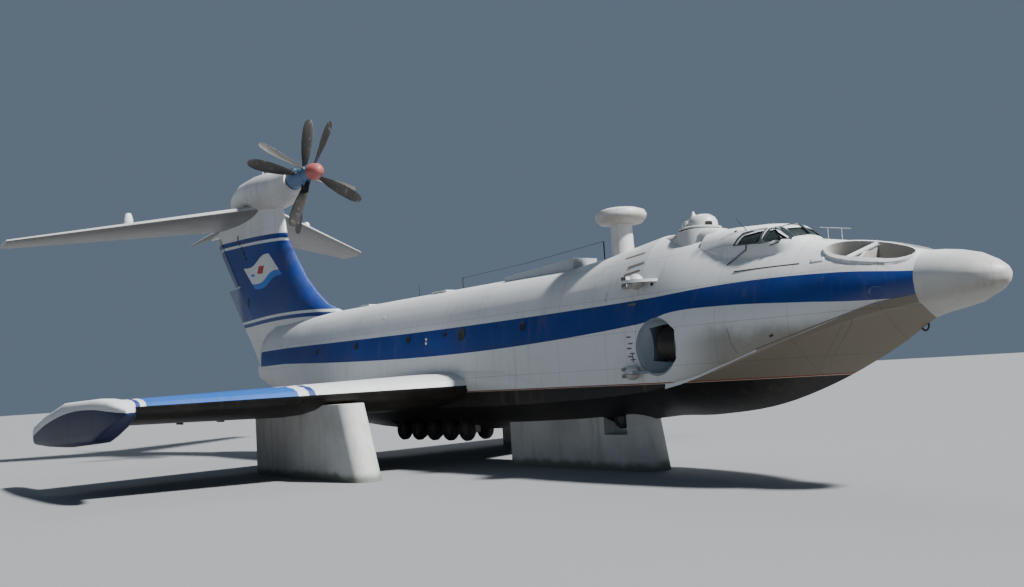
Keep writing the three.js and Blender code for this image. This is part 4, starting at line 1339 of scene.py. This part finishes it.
def in_duct(centre: Vector, normal: Vector) -> bool:
    """Tell whether a face belongs to the inner walls of an intake on the bow's top."""
    inward = Vector((DUCT_MIDDLE[0], math.copysign(DUCT_MIDDLE[1], centre.y))) - centre.xy
    near = abs(inward.x) < DUCT_HALVES[0] and abs(inward.y) < DUCT_HALVES[1]
    high = DUCT_Z[0] < centre.z < DUCT_Z[1]
    return near and high and normal.xy.dot(inward) > DUCT_INWARD * inward.length


def off_ball(centre: Vector, normal: Vector) -> bool:
    """Tell whether a face of a hinge lies on its fork, not on its round fairing."""
    middle, radius = UPPER_BALL if centre.z > HINGE_DIVIDE else LOWER_BALL
    return (centre.xy - Vector(middle)).length > radius


@dataclass
class AftHull:
    """Hull behind the joint: ports, lamps, locks, aerials, hinges and the roof panel."""

    ports: tuple = (
        (5.437, 2.803, 0.18), (3.357, 2.786, 0.27), (2.725, 2.839, 0.12), (1.25, 2.821, 0.18),
        (-1.16, 2.816, 0.18), (-3.29, 2.80, 0.18),
    )
    rim_dish: tuple = (0.008, 0.8)
    rim_rise: float = 0.9
    pane_dish: tuple = (0.001, 0.9)
    pane_share: float = 0.8
    pane_rise: float = 0.5
    lamps: tuple = ((2.004, 2.781), (2.004, 2.69))
    lamp_size: tuple = (0.07, 0.07, 0.07)
    lamp_dome: float = 0.35
    locks: tuple = (
        (8.419, 2.390), (8.466, 2.276), (8.436, 2.192), (8.503, 2.103), (8.446, 2.055), (8.516, 2.000),
    )
    lock_size: tuple = (0.11, 0.022, 0.02)
    slots: tuple = (
        (8.47, 2.95, (0.22, 0.035, 0.008)), (8.51, 2.03, (0.022, 0.15, 0.008)),
        (7.755, 3.155, (0.010, 0.19, 0.008)),
    )
    dents: tuple = (
        (8.20, 3.85, (0.50, 0.045, 0.006)), (8.35, 3.66, (0.40, 0.055, 0.006)),
        (8.30, 3.525, (0.40, 0.045, 0.006)),
    )
    dent_turn: float = 8.0
    plates: tuple = ((-0.086, 3.432, (0.12, 0.05, 0.012)),)
    hatches: tuple = ((5.9, 0.42, 0.5), (1.6, 0.5, 0.6), (-1.9, 0.42, 0.5), (-4.6, 0.36, 0.45))
    hatch_height: float = 0.03
    hatch_edge: float = 0.01
    mast: tuple = (2.24, 0.0, 4.16)
    mast_radius: float = 0.012
    whip: tuple = (0.41, 0.0, 4.19)
    whip_radii: tuple = (0.008, 0.004)
    wire: tuple = ((2.26, 0.0, 4.137), (4.6, 0.0, 4.19), (6.92, 0.0, 4.31))
    wire_radius: float = 0.005
    fillet: tuple = (
        (3.0, 2.0), (3.229, 1.990), (3.836, 1.966), (4.583, 1.936), (5.309, 1.809), (5.806, 1.618),
    )
    fillet_section: tuple = ((0.03, -0.02), (-0.03, 0.35), (-0.10, 0.8), (-0.22, 1.0), (-0.34, 0.5))
    fillet_swell: float = 0.07
    fillet_foot: float = 1.36
    fillet_thick: float = 0.01

    def sides(self, hull: Object) -> None:
        """Fix the ports, lamps, locks and slots on both sides."""
        rim, pane, lamp, key = dish(*self.rim_dish), dish(*self.pane_dish), dome(self.lamp_dome), stud()
        rims, panes, lamps, locks = [], [], [], []
        for side in SIDES.values():
            for model, kept, share, rise in (
                (rim, rims, 1.0, self.rim_rise), (pane, panes, self.pane_share, self.pane_rise),
            ):
                table = [(x, z, (across * share, across * share, rise)) for x, z, across in self.ports]
                kept += row(model, hull, side, table)
            lamps += row(lamp, hull, side, [(x, z, self.lamp_size) for x, z in self.lamps])
            locks += row(key, hull, side, [(x, z, self.lock_size) for x, z in self.locks])
            locks += row(key, hull, side, self.slots)
            lamps += row(key, hull, side, self.plates)
        # Dark dents over the starboard hinge: grime and painted shade.
        marks = row(key, hull, SIDES["starboard"], self.dents, self.dent_turn)
        discard(rim, pane, lamp, key)
        fit("hinge_side_shaded_dents", "structure", SHADED_DENT_AND_LINES, marks)
        fit("hull_port_rims", "structure", RIM, rims)
        fit("hull_port_panes", "structure", BLACK, panes)
        fit("hull_side_lamps", "structure", TRIM, lamps, Edges.SMOOTH)
        fit("hull_joint_locks", "structure", LOCK, locks)

    def roof(self, hull: Object) -> None:
        """Fix hatches and aerials on the roof."""
        lids = []
        for x, width, length in self.hatches:
            size = (length, width, self.hatch_height)
            lids.append(block(size, (x, 0.0, from_above(hull, x).z), self.hatch_edge))
        fit("roof_hatches", "structure", TRIM, lids)
        bars = [
            post(hull, self.mast, self.mast_radius),
            post(hull, self.whip, *self.whip_radii),
            tube(self.wire, self.wire_radius),
            post(hull, self.wire[-1], self.mast_radius),
        ]
        fit("roof_aerials", "structure", DARK, bars)

    def root_fillets(self, hull: Object) -> None:
        """Swell the hull's sides ahead of the wing roots."""
        plates = []
        last = len(self.fillet) - 1
        for side in SIDES.values():
            rows = []
            for index, (x, top) in enumerate(self.fillet):
                swell = self.fillet_swell * math.sin(math.pi * (1 - index / last) / 2)
                points = []
                for drop, out in self.fillet_section:
                    height = max(top + drop, self.fillet_foot)
                    place, _ = from_side(hull, x, height, side)
                    points.append((x, place.y + side * out * swell, height))
                rows.append(points)
            plates.append(sheet(rows, self.fillet_thick))
        fit("wing_root_fillets", "structure", HULL, plates, Edges.SMOOTH)

    def build(self) -> None:
        """Build the hull and all that is fixed on it."""
        hull = Skin("hull_aft", HULL, Edges.CRISP).build()
        # The scoop walls behind the nozzles take painted shade.
        second_coat(hull, SCOOP_SHADE, in_scoop)
        Skin("roof_panel", GREY, Edges.CRISP).build()
        # The forks of the hinges are painted dark as painted shadow of their pockets; the round fairings stay
        # pale.
        for node in ("hinge_lower", "hinge_upper"):
            second_coat(Skin(node, SHELL, Edges.ROUND).build(), LOCK, off_ball)
        self.sides(hull)
        self.roof(hull)
        self.root_fillets(hull)


@dataclass
class Bow:
    """Swinging bow: hull, radome, windows, lift engines, rails and small fittings."""

    heart: Vector = field(default_factory=lambda: Vector((11.2, 0.0, 3.2)))
    reveal: float = 0.04
    reveal_facing: float = 0.6
    canopy: tuple = (62.0, 12.05, 3.15)
    vane: tuple = ((12.52, -0.62, 3.23), (12.77, -0.21, 3.42))
    vane_depth: float = 0.3
    vane_thick: float = 0.04
    vane_edge: float = 0.012
    lip: float = 0.04
    chine: tuple = (
        (11.10, -1.005, 2.02), (10.65, -1.02, 1.885), (10.232, -1.02, 1.755), (9.926, -1.001, 1.660),
        (9.55, -1.0, 1.565), (9.220, -0.999, 1.502),
    )
    rail_high: tuple = (0.012, 0.025, 0.045, 0.085, 0.15, 0.26)
    rail_out: tuple = (0.005, 0.012, 0.02, 0.03, 0.04, 0.05)
    rail_thick: float = 0.012
    edge: tuple = ((13.36, 2.61), (12.97, 2.555), (12.454, 2.403), (11.753, 2.205), (11.10, 2.025))
    seams: tuple = (
        ((10.644, 2.378), (10.69, 2.15), (10.773, 1.978)),
        ((12.731, 2.455), (12.30, 2.065), (11.873, 1.674)),
        ((12.574, 2.404), (12.11, 1.99), (11.651, 1.572)),
    )
    edge_radius: float = 0.010
    edge_steps: int = 4
    seam_radius: float = 0.005
    holes: tuple = ((11.40, 2.211, (0.07, 0.035, 0.008)),)
    hole_turn: float = -20.0
    wiper: tuple = ((11.207, -0.612, 3.607), (11.342, -0.563, 3.645))
    rods: tuple = ((10.456, -0.740, 3.393), (10.780, -0.660, 3.591), (10.789, -0.650, 3.670))
    strake: tuple = ((10.648, -0.819, 3.264), (11.2, -0.775, 3.26), (11.790, -0.723, 3.248))
    bar_radii: tuple = (0.008, 0.009, 0.010)
    whip: tuple = ((10.682, -0.432, 3.90), (10.46, -0.432, 4.16))
    whip_radii: tuple = (0.009, 0.005)
    knob: tuple = (10.431, -0.417, 3.94)
    mirror: tuple = (11.345, -0.535, 3.704)
    knob_size: tuple = (0.07, 0.07, 0.06)
    knob_dome: float = 0.5
    plates: tuple = ((12.077, 3.266, (0.2, 0.08, 0.03)),)
    ring_dish: tuple = (0.022, 0.86)
    ring_marks: tuple = ((12.994, 2.70, (0.21, 0.16, 0.3)),)
    buttons: tuple = ((8.903, 3.253, (0.06, 0.06, 0.06)),)
    hand_rail: tuple = ((11.71, 0.0, 3.84), (12.24, 0.0, 3.74))
    hand_rail_radius: float = 0.004
    hand_rail_posts: tuple = (0.25, 0.7)
    hook: tuple = (13.27, 2.205)
    hook_halves: tuple = (0.055, 0.075)
    hook_radius: float = 0.014
    hook_steps: int = 16

    def panes(self, hull: Object) -> None:
        """Dress the panes, darken the edges of their openings and lay dark bands round them."""
        bands, boxes = [], []
        for side in SIDES:
            for pane in ("windscreen", "window_side", "window_rear"):
                skin = Skin(f"{pane}_{side}", GLASS, Edges.CRISP).build()
                bands.append(Gasket().lay(skin, hull, self.heart))
                boxes.append(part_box(f"{pane}_{side}"))

        def round_pane(centre: Vector, normal: Vector) -> bool:
            """Tell whether a face belongs to the edge of a window opening."""
            if abs(normal.dot((centre - self.heart).normalized())) > self.reveal_facing:
                return False
            near = self.reveal
            return any(
                all(low[axis] - near < centre[axis] < high[axis] + near for axis in range(3))
                for low, high in boxes
            )

        second_coat(hull, BAND_GLASS, round_pane)
        fit("window_bands", "bow", BAND_GLASS, bands, Edges.SOFT)

    def rails(self) -> None:
        """Run the spray rails along both chines, and stand a vane in each intake, its plate in painted shade
        under a pale lip.
        """
        plates, vanes, lips = [], [], []
        for side in SIDES.values():
            rows = [
                [(x, y, z + high), (x, y + side * out, z - SUNK)]
                for (x, y, z), high, out in zip(mirrored(self.chine, side), self.rail_high, self.rail_out)
            ]
            plates.append(sheet(rows, self.rail_thick))
            head = mirrored(self.vane, side)
            lips.append(tube(head, self.lip))
            vane = sheet([head, [(x, y, z - self.vane_depth) for x, y, z in head]], self.vane_thick)
            apply(vane, "BEVEL", width=self.vane_edge, segments=3)
            vanes.append(vane)
        # The vane plates inside the intakes take painted shade below their pale lips.
        fit("intake_vanes", "bow", DUCT_SHADE, vanes)
        fit("intake_vane_lips", "bow", TRIM, lips, Edges.SMOOTH)
        fit("spray_rails", "bow", TRIM, plates, Edges.SMOOTH)

    def lines(self, hull: Object) -> None:
        """Draw the chine's edge and the dark plate seams along both sides."""
        bars = []
        drawn = [(self.edge, self.edge_radius)] + [(seam, self.seam_radius) for seam in self.seams]
        for side in SIDES.values():
            for line, radius in drawn:
                points = []
                for (x1, z1), (x2, z2) in zip(line, line[1:]):
                    for step in range(self.edge_steps + 1):
                        share = step / self.edge_steps
                        x, z = x1 + (x2 - x1) * share, z1 + (z2 - z1) * share
                        points.append(from_side(hull, x, z, side)[0][:])
                path = [point for point, after in zip(points, points[1:]) if point != after]
                bars.append(tube(path + [points[-1]], radius))
        fit("bow_plate_lines", "bow", SHADED_DENT_AND_LINES, bars)

    def small(self, hull: Object) -> None:
        """Fix wipers, mirrors, rods, aerials, plates and marks."""
        pale, dark, rings = [], [], []
        mark, ball, key = dish(*self.ring_dish), dome(self.knob_dome), stud()
        for side in SIDES.values():
            for line, radius in zip((self.wiper, self.rods, self.strake), self.bar_radii):
                dark.append(tube(mirrored(line, side), radius))
            mirror = Vector(mirrored((self.mirror,), side)[0])
            dark.append(seated(ball, (mirror, Vector((0, side, 0))), self.knob_size))
            pale += row(key, hull, side, self.plates)
            dark += row(ball, hull, side, self.buttons)
            dark += row(key, hull, side, self.holes, self.hole_turn * side)
            rings += row(mark, hull, side, self.ring_marks)
        dark.append(tube(self.whip, *self.whip_radii))
        dark.append(seated(ball, (Vector(self.knob), UP), self.knob_size))
        front, back = self.hand_rail
        for share in self.hand_rail_posts:
            top = tuple(Vector(front).lerp(Vector(back), share))
            pale.append(post(hull, top, self.hand_rail_radius))
        pale.append(tube(self.hand_rail, self.hand_rail_radius))
        turns = [math.tau * step / self.hook_steps for step in range(self.hook_steps + 1)]
        (x, z), (half_x, half_z) = self.hook, self.hook_halves
        ring = [(x + half_x * math.cos(turn), 0.0, z + half_z * math.sin(turn)) for turn in turns]
        dark.append(tube(ring, self.hook_radius))
        discard(mark, ball, key)
        fit("bow_ring_marks", "bow", RING, rings)
        fit("bow_pale_fittings", "bow", TRIM, pale)
        fit("bow_dark_fittings", "bow", DARK, dark)

    def build(self) -> None:
        """Build the bow and all that is fixed on it."""
        hull = Skin("hull_bow", HULL, Edges.CRISP).build()
        degrees, ahead, foot = self.canopy
        soften(hull, degrees, lambda centre, normal: centre.z > foot and centre.x < ahead)
        # The scoop walls behind the nozzles take painted shade.
        second_coat(hull, SCOOP_SHADE, in_scoop)
        # The intakes' inner walls take painted shade.
        second_coat(hull, DUCT_SHADE, in_duct)
        Skin("radome", SHELL, Edges.SMOOTH).build()
        for side in SIDES:
            Skin(f"booster_{side}", DARK).build()
        self.panes(hull)
        self.rails()
        self.lines(hull)
        self.small(hull)


@dataclass
class Turret:
    """Round turret on the roof, with a window patch on its front."""

    sight: tuple = (-0.63673, 0.75897, 0.13616)
    patch: tuple = (0.115, 0.09, 0.02)
    skirt: tuple = ((0.46, 3.70), (0.44, 3.90), (0.415, 4.05), (0.395, 4.135), (0.36, 4.148), (0.1, 4.148))
    skirt_sides: int = 40
    middle: tuple = (9.325, 0.0, 0.0)

    def build(self) -> None:
        """Build the turret and its base."""
        Skin("turret_base", SHELL).build()
        turret = Skin("turret", SHELL).build()
        key = stud()
        patch = seated(key, strike(turret, EYE, self.sight), self.patch)
        discard(key)
        skirt = [spun(self.skirt, self.middle, sides=self.skirt_sides)]
        fit("turret_skirt", "bow", SHELL, skirt, Edges.SOFT)
        fit("turret_window", "turret", BLACK, [patch])


@dataclass
class Radar:
    """Radar disc on its mast."""

    def build(self) -> None:
        """Build the mast and the disc."""
        Skin("radar_mast", NACELLE).build()
        Skin("radar_disc", SHELL).build()


@dataclass
class Wings:
    """Both wings with their floats and flaps."""

    brackets: tuple = (1.9, 3.3, 4.7, 5.6)
    bracket_size: tuple = (0.4, 0.05, 0.08)
    bracket_ahead: float = 0.3
    bracket_drop: float = 0.01
    bracket_edge: float = 0.015
    bracket_taper: float = 0.6

    def build(self) -> None:
        """Build wings, floats, flaps and the hinge brackets below."""
        arms = []
        for name, side in SIDES.items():
            wing = Skin(f"wing_{name}", WING).build()
            Skin(f"float_{name}", FLOAT).build()
            for flap in ("flap_inner", "flap_outer"):
                Skin(f"{flap}_{name}", WING).build()
            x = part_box(f"flap_inner_{name}")[1].x + self.bracket_ahead
            for out in self.brackets:
                place, _ = strike(wing, (x, side * out, -1.0), (0, 0, 1))
                middle = (x, side * out, place.z - self.bracket_drop)
                arms.append(block(self.bracket_size, middle, self.bracket_edge, self.bracket_taper))
        fit("flap_brackets", "structure", DARK, arms)


@dataclass
class Tail:
    """Fin, rudders, tailplane, elevators and the nacelle with its propellers."""

    slots: tuple = (
        (-9.71, 6.8, 0.16), (-9.57, 6.62, 0.16), (-9.42, 6.43, 0.12), (-9.26, 6.245, 0.14),
        (-9.09, 6.06, 0.12), (-9.13, 4.65, 0.30),
    )
    slot_width: float = 0.08
    slot_rise: float = 0.02
    slot_turn: float = 12.0
    pod: tuple = (
        (0.0, -0.1), (0.13, -0.1), (0.13, 0.0), (0.14, 0.04), (0.135, 0.2), (0.10, 0.33), (0.08, 0.38),
        (0.0, 0.40),
    )
    pod_place: tuple = (-11.42, 3.11, 7.36)
    chin: tuple = ((-6.78, 0.0, 7.80), (0.72, 0.42, 0.44), 0.8)
    rods: tuple = ((-7.85, -0.12, 8.2, 8.60), (-8.1, -0.12, 8.2, 8.55))
    rod_radius: float = 0.018
    spinner_length: float = 0.42

    def surfaces(self) -> None:
        """Dress the fin, the rudders, the tailplane and the elevators."""
        fin = Skin("fin", FIN, Edges.FIRM).build()
        Skin("rudder_upper", RUDDER_UPPER).build()
        Skin("rudder_lower", RUDDER_LOWER).build()
        Skin("tailplane", TAIL, Edges.FIRM).build()
        for side in SIDES:
            Skin(f"elevator_{side}", TAIL).build()
        key = stud()
        marks = []
        for x, z, height in self.slots:
            size = (self.slot_width, height, self.slot_rise)
            for side in SIDES.values():
                marks += row(key, fin, side, [(x, z, size)], self.slot_turn * side)
        discard(key)
        fit("fin_slots", "structure", DARK, marks)

    def pods(self) -> None:
        """Stand the pods on the tailplane's leading edge."""
        x, y, z = self.pod_place
        parts = [spun(self.pod, (x, side * y, z)) for side in SIDES.values()]
        fit("tail_pods", "structure", TRIM, parts, Edges.SOFT)

    def nacelle(self) -> None:
        """Dress the nacelle, its engine and both propellers."""
        Skin("nacelle", NACELLE).build()
        Skin("tail_engine", DARK).build()
        chin = [swollen(*self.chin)]
        fit("nacelle_chin", "structure", NACELLE, chin, Edges.SMOOTH)
        bars = [tube([(x, y, low), (x, y, high)], self.rod_radius) for x, y, low, high in self.rods]
        fit("nacelle_rods", "structure", TRIM, bars)
        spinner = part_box("propeller_front")[1].x - self.spinner_length
        for place, red_from in (("front", spinner), ("rear", NOWHERE)):
            paint = BladePaint(f"propeller_{place}_paint", spinner_from=red_from)
            Skin(f"propeller_{place}", paint, Edges.ROUND).build()

    def build(self) -> None:
        """Build the whole tail."""
        self.surfaces()
        self.pods()
        self.nacelle()


@dataclass
class Gear:
    """Beaching gear: the beam, five pairs of main wheels and the steered nose wheels."""

    rim: float = 0.27
    rows: int = 5

    def build(self) -> None:
        """Dress the gear, with a paint for each pair of wheels round its own axle."""
        Skin("gear_beam", STEEL, Edges.CRISP).build()
        Skin("nose_leg", STEEL).build()
        for node in [f"main_wheels_{number + 1}" for number in range(self.rows)] + ["nose_wheels"]:
            low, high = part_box(node)
            x, _, z = (low + high) / 2
            rim = (high.z - low.z) * self.rim
            paint = WheelPaint(f"{node}_paint", axle=(x, z), rim=rim)
            Skin(node, paint, Edges.CRISP).build()


@dataclass
class Pylons:
    """The three concrete pylons that the vehicle stands on."""

    def build(self) -> None:
        """Dress the pylons."""
        for node in ("pylon_bow", "pylon_port", "pylon_starboard"):
            Skin(node, CONCRETE, Edges.FIRM).build()


@dataclass
class Studio:
    """Pale floor, soft light and the photograph's viewpoint."""

    forward: Vector = field(default_factory=lambda: Vector((-0.77957, 0.62100, 0.08144)))
    upward: Vector = field(default_factory=lambda: Vector((0.10219, -0.00217, 0.99476)))
    lens: float = 35.1
    sensor: float = 36.0
    sight_end: float = 1000.0
    floor_size: float = 400.0
    floor_drop: float = 0.002
    floor_roughness: float = 0.85
    sky: tuple = (0.55, 0.74, 1.0, 1)
    sky_power: float = 0.21
    suns: tuple = (("key", (22.0, 9.0, 26.0), 9.0, 5.0), ("rim", (-18.0, 22.0, 24.0), 0.5, 25.0))

    def camera(self) -> None:
        """Set the camera at the photograph's place and angle."""
        data = bpy.data.cameras.new("camera")
        data.lens, data.sensor_width, data.clip_end = self.lens, self.sensor, self.sight_end
        eye = linked("camera", data)
        ahead = self.forward.normalized()
        right = ahead.cross(self.upward).normalized()
        turn = Matrix((right, right.cross(ahead), -ahead)).transposed()
        eye.matrix_world = Matrix.Translation(EYE) @ turn.to_4x4()
        bpy.context.scene.camera = eye

    def floor(self) -> None:
        """Lay the pale floor under the pylons."""
        bpy.ops.mesh.primitive_plane_add(size=self.floor_size, location=(0, 0, -self.floor_drop))
        ground = bpy.context.active_object
        ground.name = "floor"
        settle(ground)
        pale = bpy.data.materials.new("floor_pale")
        pale.use_nodes = True
        shader = pale.node_tree.nodes["Principled BSDF"]
        shader.inputs["Base Color"].default_value = Tint.FLOOR.value
        shader.inputs["Roughness"].default_value = self.floor_roughness
        wear(ground, pale)

    def light(self) -> None:
        """Hang the suns over the bow and fill from all round."""
        world = bpy.data.worlds.new("studio")
        world.use_nodes = True
        sky = world.node_tree.nodes["Background"]
        sky.inputs[0].default_value = self.sky
        sky.inputs[1].default_value = self.sky_power
        bpy.context.scene.world = world
        for name, place, power, spread in self.suns:
            data = bpy.data.lights.new(name, "SUN")
            data.energy, data.angle = power, math.radians(spread)
            lamp = linked(name, data)
            lamp.rotation_euler = Vector(place).to_track_quat("Z", "Y").to_euler()

    def build(self) -> None:
        """Build the whole studio."""
        self.camera()
        self.floor()
        self.light()
        LOG.info("studio ready")


def main() -> None:
    """Build the classes in order."""
    logging.basicConfig(level=logging.INFO, format="%(message)s")
    for part in (Studio, AftHull, Bow, Turret, Radar, Wings, Tail, Gear, Pylons):
        part().build()


if __name__ == "__main__":
    main()
